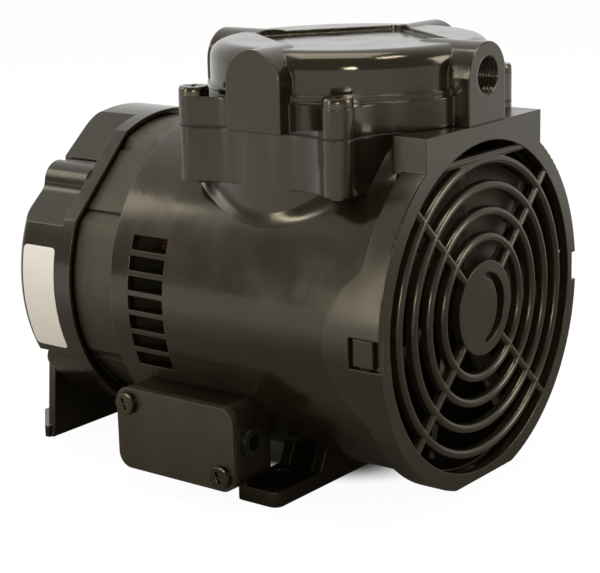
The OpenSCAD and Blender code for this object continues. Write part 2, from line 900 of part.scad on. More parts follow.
// Outline of the bell with its two upper corner flats, moved in by a wall's thickness
module bell_outline(flat_r, turn, inset) {
  difference() {
    circle(r = bell_r - inset);
    at_sides(corner_deg - turn) translate([flat_r - inset, -bell_r]) square([bell_r, 2 * bell_r]);
  }
}

// Lump over an upper bolt, with a hollow blend on its lower side
module bell_lump() {
  hollow_x = bell_flat_r + lump_hollow_r;
  hollow_y = lump_y - sqrt(pow(lump_r + lump_hollow_r, 2) - pow(hollow_x - lump_x, 2));
  union() {
    translate([lump_x, lump_y]) circle(r = lump_r);
    difference() {
      polygon([[bell_flat_r - cut, hollow_y], [hollow_x, hollow_y], [lump_x, lump_y]]);
      translate([hollow_x, hollow_y]) circle(r = lump_hollow_r - seat);
    }
  }
}

module bell_shape() {
  intersection() {
    along(bell_rear_x) linear_extrude(bell_len - rim_len) {
      difference() {
        union() {
          bell_outline(bell_flat_r, flat_turn, 0);
          at_sides(corner_deg - flat_turn) bell_lump();
        }
        at_sides(notch_deg) {
          polygon([[bell_r + cut, notch_up], [bell_r - notch_depth, 0], [bell_r + cut, -notch_down]]);
        }
        at_sides(corner_deg - flat_turn) {
          translate([bell_flat_r + half, lump_y + lump_r - flute_r * half]) circle(r = flute_r, $fn = small_fn);
        }
      }
    }
    along(bell_rear_x) rotate_extrude() {
      union() {
        translate([0, bell_round]) square([bell_r + cut, bell_len]);
        square([bell_r - bell_round, bell_round]);
        translate([bell_r - bell_round, bell_round]) circle(r = bell_round, $fn = small_fn);
      }
    }
  }
  along(stack_rear_x - rim_len - seat) linear_extrude(rim_len + seat) bell_outline(rim_flat_r, 0, 0);
}

module end_bell() {
  color(PAINT) difference() {
    union() {
      difference() {
        bell_shape();
        along(bell_rear_x + bell_wall) linear_extrude(bell_len) {
          difference() {
            bell_outline(bell_flat_r, flat_turn, bell_wall + bell_round * half);
            at_bolts() circle(r = bolt_boss_r);
          }
        }
        along(stack_rear_x - lip_depth) linear_extrude(lip_depth + cut) {
          difference() {
            bell_outline(rim_flat_r, 0, lip_t);
            bell_outline(bell_flat_r, flat_turn, bell_wall + bell_round * half - seat_ring_t);
          }
        }
      }
      along(bell_rear_x + cut) cylinder(r = bearing_boss_r, h = bell_wall + bearing_w + washer_t);
      along(bell_rear_x + cut) linear_extrude(bell_len - cut) {
        intersection() {
          at_bolts() circle(r = bolt_boss_r);
          circle(r = stack_flat_r - half);
        }
      }
    }
    along(rear_pocket_x) cylinder(r = bearing_out_r + seat, h = bell_len);
    along(bell_rear_x - cut) linear_extrude(bell_len + 2 * cut) {
      at_bolts() circle(r = bolt_r + seat, $fn = small_fn);
    }
    along(bell_rear_x - cut) linear_extrude(bolt_head_h + 2 * cut) {
      at_sides(corner_deg) translate([bolt_circle_r, 0]) circle(r = bolt_head_r + slip);
    }
    for (i = [0:bell_vents - 1]) {
      along(bell_rear_x - cut) rotate(360 / bell_vents * (i + half)) {
        translate([bell_vent_in, -bell_vent_w * half, 0]) {
          cube([bell_vent_out - bell_vent_in, bell_vent_w, bell_wall + 2 * cut]);
        }
      }
    }
  }
}

module preload_washer() {
  color(BRIGHT) along(rear_pocket_x + seat * half) {
    tube(bearing_out_r - seat, bearing_mid_r + cut, washer_t - seat);
  }
}

label_mid_deg = 185.6;
label_corner = 1.5;

module blank_label() {
  label_x = bell_rear_x + bell_round;
  label_h = 2 * bell_r * sin(label_arc_deg * half);
  color(LABEL) along(label_x) intersection() {
    tube(bell_r + label_t + seat, bell_r + seat, label_w);
    rotate(label_mid_deg) translate([0, 0, label_w * half]) rotate([0, 90, 0]) {
      linear_extrude(2 * bell_r) rounded_rect(label_w, label_h, label_corner);
    }
  }
}

bolt_head_r = 3.2;
bolt_head_h = 1.6;

module through_bolts() {
  color(SCREW) for (i = [0:3]) {
    low = i > 1;
    head_x = bell_rear_x + (low ? -rear_web_t - seat : bolt_head_h + cut);
    end_x = wall_front_x - wall_t - cut - seat;
    along(head_x) rotate(corner_deg + 90 * i) translate([bolt_circle_r, 0]) {
      translate([0, 0, -seat]) cylinder(r = bolt_r, h = end_x - head_x - cut, $fn = small_fn);
      translate([0, 0, -bolt_head_h]) cylinder(r = bolt_head_r, h = bolt_head_h, $fn = 6);
    }
  }
}

// Rear foot bracket, clamped under the two lower through bolts
rear_ear_r = 4.8;
rear_toe_w = 2;
rear_base_half_w = 31;

module rear_foot() {
  bolt_y = bolt_circle_r * cos(corner_deg);
  bolt_z = axis_height - bolt_circle_r * sin(corner_deg);
  web_x = bell_rear_x - rear_web_t;
  web_h = bolt_z - rear_web_drop;
  bead_y = rear_web_half_w + rear_toe_w;
  toe_y = rear_base_half_w - rear_toe_w;
  color(PAINT) difference() {
    union() {
      translate([web_x, 0, 0]) rotate([90, 0, 90]) linear_extrude(rear_web_t - seat) {
        union() {
          polygon([[-rear_web_half_w - rear_toe_w * half, 0], [-rear_web_half_w, rear_base_t],
            [-rear_web_half_w + rear_toe_w, web_h], [rear_web_half_w - rear_toe_w, web_h],
            [rear_web_half_w, rear_base_t], [rear_web_half_w + rear_toe_w * half, 0]]);
          for (s = [-1, 1]) {
            translate([s * bolt_y, bolt_z]) circle(r = rear_ear_r);
          }
        }
      }
      linear_extrude(rear_base_t) {
        polygon([[bell_rear_x - cut, -bead_y], [bell_rear_x - cut, bead_y], [web_x, bead_y],
          [web_x - rear_base_len, toe_y], [web_x - rear_base_len, -toe_y], [web_x, -bead_y]]);
      }
    }
    for (s = [-1, 1]) {
      translate([web_x - cut, s * bolt_y, bolt_z]) {
        rotate([0, 90, 0]) cylinder(r = bolt_r + seat, h = rear_web_t + 2 * cut, $fn = small_fn);
      }
      translate([web_x - rear_base_len * half, s * rear_hole_gap * half, -cut]) {
        cylinder(r = foot_hole_r, h = rear_base_t + 2 * cut);
      }
    }
  }
}

// Terminal box fittings

module cover_gasket() {
  color(RUBBER) difference() {
    box_shape(-box_reach - cover_gasket_t, cover_gasket_t, 0);
    box_shape(-box_reach - cover_gasket_t - cut, cover_gasket_t + 2 * cut, box_wall);
  }
}

module terminal_cover() {
  color(PAINT) difference() {
    box_shape(-cover_face, cover_t, 0);
    at_cover_screws() translate([0, 0, -cover_t - cut]) {
      cylinder(r = cover_shank_r + seat, h = cover_t + 2 * cut, $fn = small_fn);
    }
  }
}

cover_screw_turn = 22;

module cover_screws() {
  shank = cover_hole_depth - cut;
  color(SCREW) at_cover_screws() rotate(cover_screw_turn) pan_screw(cover_head_r, cover_shank_r, shank);
}

block_w = 20;
block_h = 8;
block_t = 7;
block_screws = 3;
block_pitch = 6;
block_screw_r = 1.6;

module terminal_block() {
  block_x = (cover_x0 + cover_x1) * half;
  block_y = -box_reach + box_depth;
  color("#4b4238") difference() {
    translate([block_x - block_w * half, block_y - block_t, box_mid_z - block_h * half]) {
      cube([block_w, block_t, block_h]);
    }
    at_block_screws() translate([0, 0, -block_t]) {
      cylinder(r = block_screw_r * half + seat, h = 2 * block_t, $fn = small_fn);
    }
  }
}

module at_block_screws() {
  for (i = [0:block_screws - 1]) {
    translate([(cover_x0 + cover_x1) * half + (i - 1) * block_pitch,
      -box_reach + box_depth - block_t, box_mid_z]) rotate([90, 0, 0]) children();
  }
}

module terminal_screws() {
  color(BRASS) at_block_screws() pan_screw(block_screw_r, block_screw_r * half, block_t - cut);
}

module cord_grommet() {
  color(RUBBER) translate([cover_x1 - box_wall, -grommet_y, grommet_z]) rotate([0, 90, 0]) {
    difference() {
      union() {
        translate([0, 0, -grommet_flange_t]) cylinder(r = grommet_flange_r, h = grommet_flange_t);
        cylinder(r = grommet_neck_r, h = box_wall);
        translate([0, 0, box_wall]) cylinder(r = grommet_flange_r, h = grommet_flange_t);
      }
      translate([0, 0, -grommet_flange_t - cut]) {
        cylinder(r = grommet_bore_r, h = box_wall + 2 * grommet_flange_t + 2 * cut);
      }
    }
  }
}

// Fan guard

ring_step = (ring_out_r - ring_in_r) / (ring_count - 1);
chord_rise = 1;
slot_r_share = 0.76;
slot_shift_share = 0.25;
slot_inner_share = 0.71;

// Bar section with a half-round front, from z = 0 to depth
module bar_section(w, depth) {
  union() {
    translate([-w * half, 0]) square([w, depth - w * half]);
    translate([0, depth - w * half]) circle(r = w * half, $fn = small_fn);
  }
}

module guard_rib(len) {
  rotate([90, 0, 0]) translate([0, 0, -len]) linear_extrude(len) bar_section(rib_w, guard_t - slip);
}

module grille() {
  for (i = [0:ring_count - 1]) {
    rotate_extrude() translate([ring_in_r + ring_step * i, 0]) bar_section(ring_w, guard_t);
  }
  difference() {
    cylinder(r = disc_r, h = guard_t);
    translate([0, 0, -cut]) linear_extrude(guard_t + 2 * cut) {
      intersection() {
        difference() {
          circle(r = disc_r * slot_r_share);
          translate([-disc_r * slot_shift_share, 0]) circle(r = disc_r * slot_inner_share);
        }
        translate([0, -disc_r]) square([disc_r, 2 * disc_r]);
      }
    }
  }
  for (i = [0:3]) {
    rotate(corner_deg + 90 * i) translate([0, disc_r - cut, 0]) guard_rib(opening_r - disc_r + 2 * cut);
  }
  chord_z = ring_out_r + chord_rise;
  chord_half = sqrt(pow(opening_r, 2) - pow(chord_z, 2)) + cut;
  translate([-chord_half, chord_z, 0]) rotate(-90) guard_rib(2 * chord_half);
}

// Rear edge of the skirt, seen from the side about the axis: a round lobe that flows into a short band
lobe_fillet = 5;
lobe_steps = 16;
short_x = guard_face - skirt_short;
lobe_x = guard_face - skirt_long + lobe_r;
fillet_x = short_x - lobe_fillet;
fillet_z = sqrt(pow(lobe_r + lobe_fillet, 2) - pow(lobe_x - fillet_x, 2));
blend_z = fillet_z * lobe_r / (lobe_r + lobe_fillet);
function edge_x(u) = u < blend_z ? lobe_x - sqrt(pow(lobe_r, 2) - pow(u, 2))
  : fillet_x + sqrt(pow(lobe_fillet, 2) - pow(fillet_z - u, 2));
function skirt_edge() = [for (i = [-lobe_steps:lobe_steps]) let (u = fillet_z * i / lobe_steps)
  [edge_x(abs(u)), u - lobe_drop]];

// What the skirt leaves free behind its edge
module skirt_rear() {
  rear_x = guard_face - skirt_long - cut;
  polygon(concat([[rear_x, -guard_r - cut], [short_x, -guard_r - cut]], skirt_edge(),
    [[short_x, guard_r + cut], [rear_x, guard_r + cut]]));
}

// Repeats a child that lies on the left of the axis, and again on the right, turned half round
module on_both_sides() {
  for (turn = [0, 180]) {
    translate([0, 0, axis_height]) rotate([turn, 0, 0]) children();
  }
}

module guard_shell() {
  difference() {
    union() {
      along(guard_face - skirt_long) cylinder(r = guard_r, h = skirt_long - guard_t);
      along(guard_back_x) rotate_extrude() {
        union() {
          square([guard_r - half, guard_t]);
          square([guard_r, guard_t - half]);
          translate([guard_r - half, guard_t - half]) circle(r = half, $fn = small_fn);
        }
      }
    }
    on_both_sides() {
      rotate([90, 0, 0]) linear_extrude(2 * guard_r) skirt_rear();
    }
  }
}

module fan_guard() {
  inner_r = guard_r - guard_wall;
  block_z = axis_height + sqrt(pow(guard_r, 2) - pow(block_half_w, 2)) - cut;
  color(PLASTIC) union() {
    difference() {
      union() {
        guard_shell();
        translate([guard_face - block_depth, -block_half_w, block_z]) {
          cube([block_depth, 2 * block_half_w, head_z - slip - block_z]);
        }
      }
      along(guard_face - skirt_long - cut) cylinder(r = inner_r, h = skirt_long - guard_t + cut);
      along(guard_back_x - cut) cylinder(r = opening_r, h = guard_t + 2 * cut);
      translate([guard_face - skirt_long - cut, -guard_r, axis_height - guard_flat - guard_r]) {
        cube([skirt_long + 2 * cut, 2 * guard_r, guard_r]);
      }
      on_both_sides() {
        translate([guard_face - window_len, -guard_r - half, -lobe_drop - window_h * half]) {
          cube([window_len + cut, guard_wall + 2 * half, window_h]);
        }
      }
    }
    along(guard_back_x) grille();
  }
}

// Fan on the shaft's front end
fan_hub_r = 11;
fan_room = 5;
fan_hub_nose = 3;
fan_back_x = guard_back_x - fan_depth - fan_room;
fan_hub_len = fan_depth + fan_hub_nose;
blade_t = 1.8;
blade_root_w = 12;
blade_tip_w = 26;

// Flat blade, widening towards its tip and set at an angle across the hub
module fan_blade() {
  rotate([-blade_angle, 0, 0]) translate([0, 0, -blade_t * half]) linear_extrude(blade_t) {
    polygon([[fan_hub_r - 2 * cut, -blade_root_w * half], [fan_r + cut, -blade_tip_w * half],
      [fan_r + cut, blade_tip_w * half], [fan_hub_r - 2 * cut, blade_root_w * half]]);
  }
}

module cooling_fan() {
  color(PLASTIC) difference() {
    union() {
      along(fan_back_x) cylinder(r = fan_hub_r, h = fan_hub_len);
      intersection() {
        union() {
          for (i = [0:blade_count - 1]) {
            along(fan_back_x + fan_depth * half) rotate(360 / blade_count * i) fan_blade();
          }
        }
        along(fan_back_x) cylinder(r = fan_r, h = fan_depth);
      }
    }
    along(fan_back_x - cut) cylinder(r = shaft_r + seat, h = fan_hub_len + 2 * cut);
    translate([fan_back_x + fan_hub_len - bearing_land, 0, axis_height]) {
      translate([-set_r, 0, 0]) cylinder(r = set_r + seat, h = 2 * fan_hub_r, $fn = small_fn);
    }
  }
}

set_r = 1.5;

module fan_screw() {
  color(SCREW) translate([fan_back_x + fan_hub_len - bearing_land - set_r, 0, axis_height + shaft_r + seat]) {
    set_screw(set_r, fan_hub_r - shaft_r - cut);
  }
}

// Cylinder head

// Boss with an arched top, growing along +X from the cylinder axis
module port_boss(reach) {
  rise = port_z - head_z;
  translate([dome_r * half, 0, 0]) rotate([90, 0, 90]) linear_extrude(reach - dome_r * half) {
    union() {
      translate([-boss_r, 0]) square([2 * boss_r, rise]);
      translate([0, rise]) circle(r = boss_r);
    }
  }
}

chamber_wall = 3;
dome_collar = 1;
dome_collar_h = 2;
divider_t = 4;
port_way_r = 4.6;
recess_slip = 0.3;
panel_corner_share = 0.06;

thread_land_share = 0.24;

// Thread grooves cut into the bore, from the mouth inwards, along -Z
module thread_cut(crest_r, depth, pitch) {
  land = pitch * thread_land_share;
  union() {
    translate([0, 0, -port_turns * pitch - cut]) {
      cylinder(r = crest_r, h = port_turns * pitch + 2 * cut);
    }
    for (i = [0:port_turns - 1]) {
      translate([0, 0, -pitch * (i + 1)]) rotate_extrude() {
        polygon([[0, land * half], [crest_r, land * half], [crest_r + depth, pitch * half],
          [crest_r, pitch - land * half], [0, pitch - land * half]]);
      }
    }
  }
}

module cylinder_head() {
  roof_z = top_z - panel_depth - chamber_wall;
  color(PAINT) difference() {
    union() {
      on_cylinder(head_z) {
        linear_extrude(head_flange_t) ear_outline(head_r);
        translate([0, 0, head_flange_t - cut]) rotate_extrude() {
          union() {
            square([dome_r + dome_collar, dome_collar_h + cut]);
            square([dome_r - dome_round, dome_h + cut]);
            square([dome_r, dome_h + cut - dome_round]);
            translate([dome_r - dome_round, dome_h + cut - dome_round]) {
              circle(r = dome_round, $fn = small_fn);
            }
          }
        }
        for (a = [0, 180]) {
          rotate(a) port_boss(port_reach);
        }
        for (a = [90, 270]) {
          rotate(a) port_boss(blind_reach);
        }
      }
    }
    on_cylinder(head_z - cut) cylinder(r = plate_r + recess_slip, h = plate_top_z - head_z + cut);
    intersection() {
      on_cylinder(plate_top_z - cut) cylinder(r = plate_r - chamber_wall, h = roof_z - plate_top_z + cut);
      for (x = [divider_t * half, -divider_t * half - dome_r]) {
        translate([cylinder_ahead + x, -dome_r, plate_top_z - cut]) {
          cube([dome_r, 2 * dome_r, dome_h + head_flange_t]);
        }
      }
    }
    for (a = [0, 180]) {
      size = a == 0 ? 1 : intake_share;
      on_cylinder(port_z) rotate(a) rotate([0, 90, 0]) {
        translate([0, 0, plate_r - 2 * chamber_wall]) {
          cylinder(r = port_way_r * size, h = port_reach - plate_r);
        }
        translate([0, 0, port_reach]) {
          thread_cut(port_crest_r * size, port_thread_depth * size, port_pitch * size);
        }
      }
    }
    on_cylinder(head_z - cut) corners(ear_x, ear_y) {
      cylinder(r = head_shank_r + seat, h = head_flange_t + 2 * cut, $fn = small_fn);
    }
    on_cylinder(top_z - panel_depth) rotate(panel_turn) {
      linear_extrude(panel_depth + cut) rounded_rect(panel_side, panel_side, panel_side * panel_corner_share);
    }
  }
}

module head_gasket() {
  color(RUBBER) on_cylinder(joint_z) linear_extrude(gasket_t) difference() {
    intersection() {
      ear_outline(head_r);
      translate([-head_r, -ear_half_y]) square([head_r + tower_front - cylinder_ahead, 2 * ear_half_y]);
    }
    circle(r = plate_r + recess_slip);
    corners(ear_x, ear_y) circle(r = head_shank_r + seat, $fn = small_fn);
  }
}

head_screw_turn = 30;

module head_screws() {
  shank = head_flange_t + gasket_t + ear_h + cut;
  color(SCREW) on_cylinder(head_z + head_flange_t) corners(ear_x, ear_y) {
    rotate(head_screw_turn) pan_screw(head_screw_r, head_shank_r, shank);
  }
}

// Cylinder sleeve and valve parts

seal_r = 0.9;
seal_mid_r = bore_r + sleeve_wall;

module cylinder_sleeve() {
  color(BRIGHT) difference() {
    union() {
      on_cylinder(joint_z - sleeve_len) cylinder(r = sleeve_r, h = sleeve_len);
      on_cylinder(joint_z - sleeve_flange_t) cylinder(r = sleeve_flange_r, h = sleeve_flange_t);
    }
    on_cylinder(joint_z - sleeve_len - cut) cylinder(r = bore_r, h = sleeve_len + 2 * cut);
    on_cylinder(joint_z - 2 * seal_r) difference() {
      cylinder(r = seal_mid_r + seal_r + seat, h = 2 * seal_r + cut);
      translate([0, 0, -cut]) cylinder(r = seal_mid_r - seal_r - seat, h = 2 * seal_r + 3 * cut);
    }
  }
}

module sleeve_seal() {
  color(RUBBER) on_cylinder(joint_z - seal_r) rotate_extrude() {
    translate([seal_mid_r, 0]) circle(r = seal_r - seat * half, $fn = small_fn);
  }
}

hole_x = 11;
valve_hole_r = 2;
valve_hole_y = 3;
valve_hole_step = 5;
reed_t = 0.3;
reed_w = 12;
reed_len = 24;
keeper_screw_r = 1.8;
reed_pin_y = -9;
reed_flex_y = -6;

module valve_plate() {
  color(BRIGHT) difference() {
    on_cylinder(joint_z + seat) cylinder(r = plate_r, h = plate_t - 2 * seat);
    for (s = [-1, 1]) {
      for (y = [valve_hole_y, valve_hole_y + valve_hole_step]) {
        on_cylinder(joint_z - cut) translate([s * hole_x, y, 0]) {
          cylinder(r = valve_hole_r, h = plate_t + 2 * cut, $fn = small_fn);
        }
      }
      on_cylinder(joint_z - cut) translate([s * hole_x, reed_pin_y, 0]) {
        cylinder(r = keeper_screw_r * half + seat, h = plate_t + 2 * cut, $fn = small_fn);
      }
    }
  }
}

// Root of a reed, clamped under its screw, ends at the flex line
module reed_root() {
  linear_extrude(reed_t) difference() {
    translate([-reed_w * half, -reed_len * half]) square([reed_w, reed_flex_y - seat + reed_len * half]);
    translate([0, reed_pin_y]) circle(r = keeper_screw_r * half + seat, $fn = small_fn);
  }
}

// Tongue of a reed, from the flex line to its round tip
module reed_tongue() {
  linear_extrude(reed_t) union() {
    translate([-reed_w * half, reed_flex_y]) square([reed_w, (reed_len - reed_w) * half - reed_flex_y]);
    translate([0, (reed_len - reed_w) * half]) circle(r = reed_w * half, $fn = small_fn);
  }
}

module exhaust_reed() {
  color(BRIGHT) on_cylinder(plate_top_z) translate([hole_x, 0, 0]) reed_tongue();
}

module exhaust_reed_root() {
  color(BRIGHT) on_cylinder(plate_top_z) translate([hole_x, 0, 0]) reed_root();
}

module intake_reed() {
  color(BRIGHT) on_cylinder(joint_z - reed_t) translate([-hole_x, 0, 0]) reed_tongue();
}

module intake_reed_root() {
  color(BRIGHT) on_cylinder(joint_z - reed_t) translate([-hole_x, 0, 0]) reed_root();
}

keeper_t = 1;

module reed_keeper() {
  keeper_w = 8;
  foot_y = 5.4;
  rise = (reed_len * half - reed_flex_y) * tan(reed_angle) + keeper_t;
  color(STEEL) on_cylinder(plate_top_z + reed_t) translate([hole_x, 0, 0]) {
    difference() {
      translate([-keeper_w * half, 0, 0]) rotate([90, 0, 90]) linear_extrude(keeper_w) {
        polygon([[reed_pin_y - foot_y * half, seat], [reed_pin_y + foot_y * half, seat],
          [reed_len * half, rise], [reed_len * half, rise + keeper_t],
          [reed_pin_y + foot_y * half, keeper_t], [reed_pin_y - foot_y * half, keeper_t]]);
      }
      translate([0, reed_pin_y, -cut]) {
        cylinder(r = keeper_screw_r * half + seat, h = 2 * cut + keeper_t, $fn = small_fn);
      }
    }
  }
}

module keeper_screw() {
  color(SCREW) on_cylinder(plate_top_z + reed_t + keeper_t + seat) translate([hole_x, reed_pin_y, 0]) {
    pan_screw(keeper_screw_r, keeper_screw_r * half, plate_t);
  }
}

module intake_screw() {
  color(SCREW) on_cylinder(joint_z - reed_t - seat) translate([-hole_x, reed_pin_y, 0]) {
    mirror([0, 0, 1]) pan_screw(keeper_screw_r, keeper_screw_r * half, plate_t);
  }
}

// Rotating group

shaft_rear_x = rear_bearing_x;
shaft_front_x = fan_back_x + fan_hub_len;

module shaft() {
  step_rear_x = rear_bearing_x + bearing_w + seat;
  step_front_x = front_bearing_x - seat;
  color(BRIGHT) union() {
    along(shaft_rear_x) cylinder(r = shaft_r, h = shaft_front_x - shaft_rear_x);
    along(step_rear_x) cylinder(r = rotor_seat_r, h = step_front_x - step_rear_x);
  }
}

cage_t = 4;
cage_in_r = 14;
fin_count = 8;
fin_h = 3;

module rotor_core() {
  color(STEEL) along(stack_rear_x) tube(rotor_r, rotor_seat_r + seat, stack_len);
}

module rotor_cage() {
  color(BRIGHT) for (x = [stack_rear_x - cage_t, stack_front_x]) {
    fin_x = x < stack_rear_x ? -fin_h : cage_t - cut;
    along(x) {
      tube(rotor_r - cut, cage_in_r, cage_t);
      for (i = [0:fin_count - 1]) {
        rotate(360 / fin_count * i) translate([cage_in_r + cut, -half, fin_x]) {
          cube([rotor_r - cage_in_r - 3 * cut, cut, fin_h + cut]);
        }
      }
    }
  }
}

module shaft_bearing_outer(x) {
  color(BRIGHT) along(x) {
    race(bearing_out_r, bearing_mid_r + bearing_land, bearing_w, bearing_mid_r, bearing_ball_r);
  }
}

module shaft_bearing_inner(x) {
  color(BRIGHT) along(x) {
    race(bearing_mid_r - bearing_land, shaft_r + seat, bearing_w, bearing_mid_r, bearing_ball_r);
  }
}

module shaft_bearing_balls(x) {
  color(BRIGHT) along(x) ball_set(bearing_balls, bearing_w, bearing_mid_r, bearing_ball_r);
}

module rear_bearing_outer() {
  shaft_bearing_outer(rear_bearing_x);
}

module rear_bearing_inner() {
  shaft_bearing_inner(rear_bearing_x);
}

module rear_bearing_balls() {
  shaft_bearing_balls(rear_bearing_x);
}

module front_bearing_outer() {
  shaft_bearing_outer(front_bearing_x);
}

module front_bearing_inner() {
  shaft_bearing_inner(front_bearing_x);
}

module front_bearing_balls() {
  shaft_bearing_balls(front_bearing_x);
}

rod_x = cylinder_ahead - rod_w * half;
rod_bearing_x = cylinder_ahead - rod_bearing_w * half;
collar_t = 3;
counter_x = rod_bearing_x - collar_t - counter_t;

// Places a child on the crank pin, growing towards +X
module on_pin(x) {
  translate([x, 0, pin_z]) rotate([90, 0, 90]) children();
}

module eccentric() {
  color(STEEL) difference() {
    union() {
      on_pin(rod_bearing_x - collar_t) cylinder(r = journal_r + cut, h = collar_t);
      on_pin(rod_bearing_x - collar_t) cylinder(r = journal_r, h = collar_t + rod_bearing_w + cut);
      along(counter_x) cylinder(r = journal_r, h = counter_t + seat);
      along(counter_x) intersection() {
        cylinder(r = counter_r, h = counter_t);
        translate([-counter_r, -counter_r, 0]) cube([2 * counter_r, counter_r, counter_t]);
      }
    }
    along(counter_x - cut) cylinder(r = shaft_r + seat, h = counter_t + collar_t + rod_bearing_w + 3 * cut);
    translate([counter_x + counter_t * half, 0, axis_height]) mirror([0, 0, 1]) {
      cylinder(r = counter_set_r + seat, h = 2 * counter_r, $fn = small_fn);
    }
  }
}

counter_set_r = 2.5;

module eccentric_screw() {
  color(SCREW) translate([counter_x + counter_t * half, 0, axis_height - shaft_r - seat]) {
    mirror([0, 0, 1]) set_screw(counter_set_r, counter_r * half - cut);
  }
}

module rod_bearing_inner() {
  color(BRIGHT) on_pin(rod_bearing_x) {
    race(rod_bearing_mid_r - rod_land, journal_r + seat, rod_bearing_w, rod_bearing_mid_r, rod_ball_r);
  }
}

module rod_bearing_outer() {
  color(BRIGHT) on_pin(rod_bearing_x) {
    race(rod_bearing_out_r, rod_bearing_mid_r + rod_land, rod_bearing_w, rod_bearing_mid_r, rod_ball_r);
  }
}

module rod_bearing_balls() {
  color(BRIGHT) on_pin(rod_bearing_x) ball_set(rod_balls, rod_bearing_w, rod_bearing_mid_r, rod_ball_r);
}

// Connecting rod with the piston plate on top

rod_shank_w = 12;
rod_plate_r = 16.4;

module connecting_rod() {
  color(BRIGHT) difference() {
    union() {
      on_pin(rod_x) cylinder(r = big_end_r, h = rod_w);
      translate([rod_x, -rod_shank_w * half, pin_z + rod_bearing_mid_r]) {
        cube([rod_w, rod_shank_w, rod_top_z - pin_z - rod_bearing_mid_r - seat]);
      }
      on_cylinder(rod_top_z - rod_plate_t) cylinder(r = rod_plate_r, h = rod_plate_t);
      on_cylinder(rod_top_z - 2 * rod_plate_t) {
        cylinder(r1 = rod_shank_w * half, r2 = rod_plate_r - cut, h = rod_plate_t);
      }
    }
    on_pin(rod_x - cut) cylinder(r = rod_bearing_out_r + seat, h = rod_w + 2 * cut);
    on_cylinder(rod_top_z - retainer_shank) {
      cylinder(r = retainer_shank_r + seat, h = retainer_shank + cut, $fn = small_fn);
    }
  }
}

retainer_shank = 9;
retainer_shank_r = 1.9;
retainer_head_r = 3.4;
retainer_head_h = 1.2;
retainer_r = 14.6;

module piston_cup() {
  lip_t = 0.8;
  color(SEAL) on_cylinder(rod_top_z) difference() {
    cylinder(r = cup_r, h = cup_t + cup_lip);
    translate([0, 0, cup_t]) cylinder(r = cup_r - lip_t, h = cup_lip + cut);
    translate([0, 0, -cut]) cylinder(r = retainer_shank_r + seat, h = cup_t + 2 * cut, $fn = small_fn);
  }
}

module cup_retainer() {
  color(BRIGHT) on_cylinder(rod_top_z + cup_t) difference() {
    cylinder(r = retainer_r, h = retainer_t);
    translate([0, 0, retainer_t - retainer_head_h]) {
      cylinder(r = retainer_head_r + seat, h = retainer_head_h + cut);
    }
    translate([0, 0, -cut]) cylinder(r = retainer_shank_r + seat, h = retainer_t + 2 * cut, $fn = small_fn);
  }
}

module retainer_screw() {
  head_z0 = piston_top_z - retainer_head_h;
  color(SCREW) on_cylinder(head_z0) difference() {
    union() {
      cylinder(r = retainer_head_r, h = retainer_head_h);
      translate([0, 0, -retainer_shank]) {
        cylinder(r = retainer_shank_r, h = retainer_shank + seat, $fn = small_fn);
      }
    }
    translate([0, 0, retainer_head_h * half]) cylinder(r = retainer_shank_r, h = retainer_head_h, $fn = 6);
  }
}

crankcase();
bearing_wall();
cylinder_tower();
front_foot();
terminal_box();
stator_stack();
coil_sides();
front_windings();
rear_windings();
end_bell();
preload_washer();
rear_bearing_outer();
front_bearing_outer();
through_bolts();
rear_foot();
blank_label();
cover_gasket();
terminal_cover();
cover_screws();
terminal_block();
terminal_screws();
cord_grommet();
fan_guard();
cylinder_sleeve();
sleeve_seal();
valve_plate();
exhaust_reed();
exhaust_reed_root();
reed_keeper();
keeper_screw();
intake_reed();
intake_reed_root();
intake_screw();
head_gasket();
cylinder_head();
head_screws();
shaft();
rotor_core();
rotor_cage();
rear_bearing_inner();
rear_bearing_balls();
front_bearing_inner();
front_bearing_balls();
eccentric();
eccentric_screw();
rod_bearing_inner();
rod_bearing_balls();
cooling_fan();
fan_screw();
connecting_rod();
rod_bearing_outer();
piston_cup();
cup_retainer();
retainer_screw();
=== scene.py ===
import math

import bmesh
import bpy
from mathutils import Matrix, Vector


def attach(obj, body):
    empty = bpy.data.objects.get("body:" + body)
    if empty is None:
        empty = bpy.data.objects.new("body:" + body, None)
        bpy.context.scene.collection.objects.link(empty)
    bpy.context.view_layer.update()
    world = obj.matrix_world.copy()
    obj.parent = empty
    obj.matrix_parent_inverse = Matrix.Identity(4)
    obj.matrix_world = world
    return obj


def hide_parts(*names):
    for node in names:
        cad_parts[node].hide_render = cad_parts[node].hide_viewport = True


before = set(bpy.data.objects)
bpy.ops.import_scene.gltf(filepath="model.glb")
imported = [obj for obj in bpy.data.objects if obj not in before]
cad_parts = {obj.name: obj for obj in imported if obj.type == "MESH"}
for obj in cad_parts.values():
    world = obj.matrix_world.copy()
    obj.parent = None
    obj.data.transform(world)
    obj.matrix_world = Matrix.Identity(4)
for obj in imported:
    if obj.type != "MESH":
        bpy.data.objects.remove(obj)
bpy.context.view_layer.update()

# The stand and the view. The compressor sits on a plain white table, seen from a little above,
# past its fan guard and terminal box, through a long lens.
view_turn = math.radians(37.757)
view_rise = math.radians(14.282)
view_tilt = math.radians(-1.398)
view_aim = Vector((-0.01736, 0.0, 0.05698))
view_far = 0.57975
sensor_wide = 36.0
lens_long = 103.23
clip_near = 0.01
camera_data = bpy.data.cameras.new("view")
camera_data.sensor_fit = "HORIZONTAL"
camera_data.sensor_width = sensor_wide
camera_data.lens = lens_long
camera_data.clip_start = clip_near
camera = bpy.data.objects.new("view", camera_data)
bpy.context.scene.collection.objects.link(camera)
turned = (Matrix.Rotation(view_turn, 4, "Z") @ Matrix.Rotation(math.pi / 2 - view_rise, 4, "X")
          @ Matrix.Rotation(view_tilt, 4, "Z"))
camera.matrix_world = Matrix.Translation(view_aim + turned.to_3x3() @ Vector((0, 0, view_far))) @ turned
bpy.context.scene.camera = camera
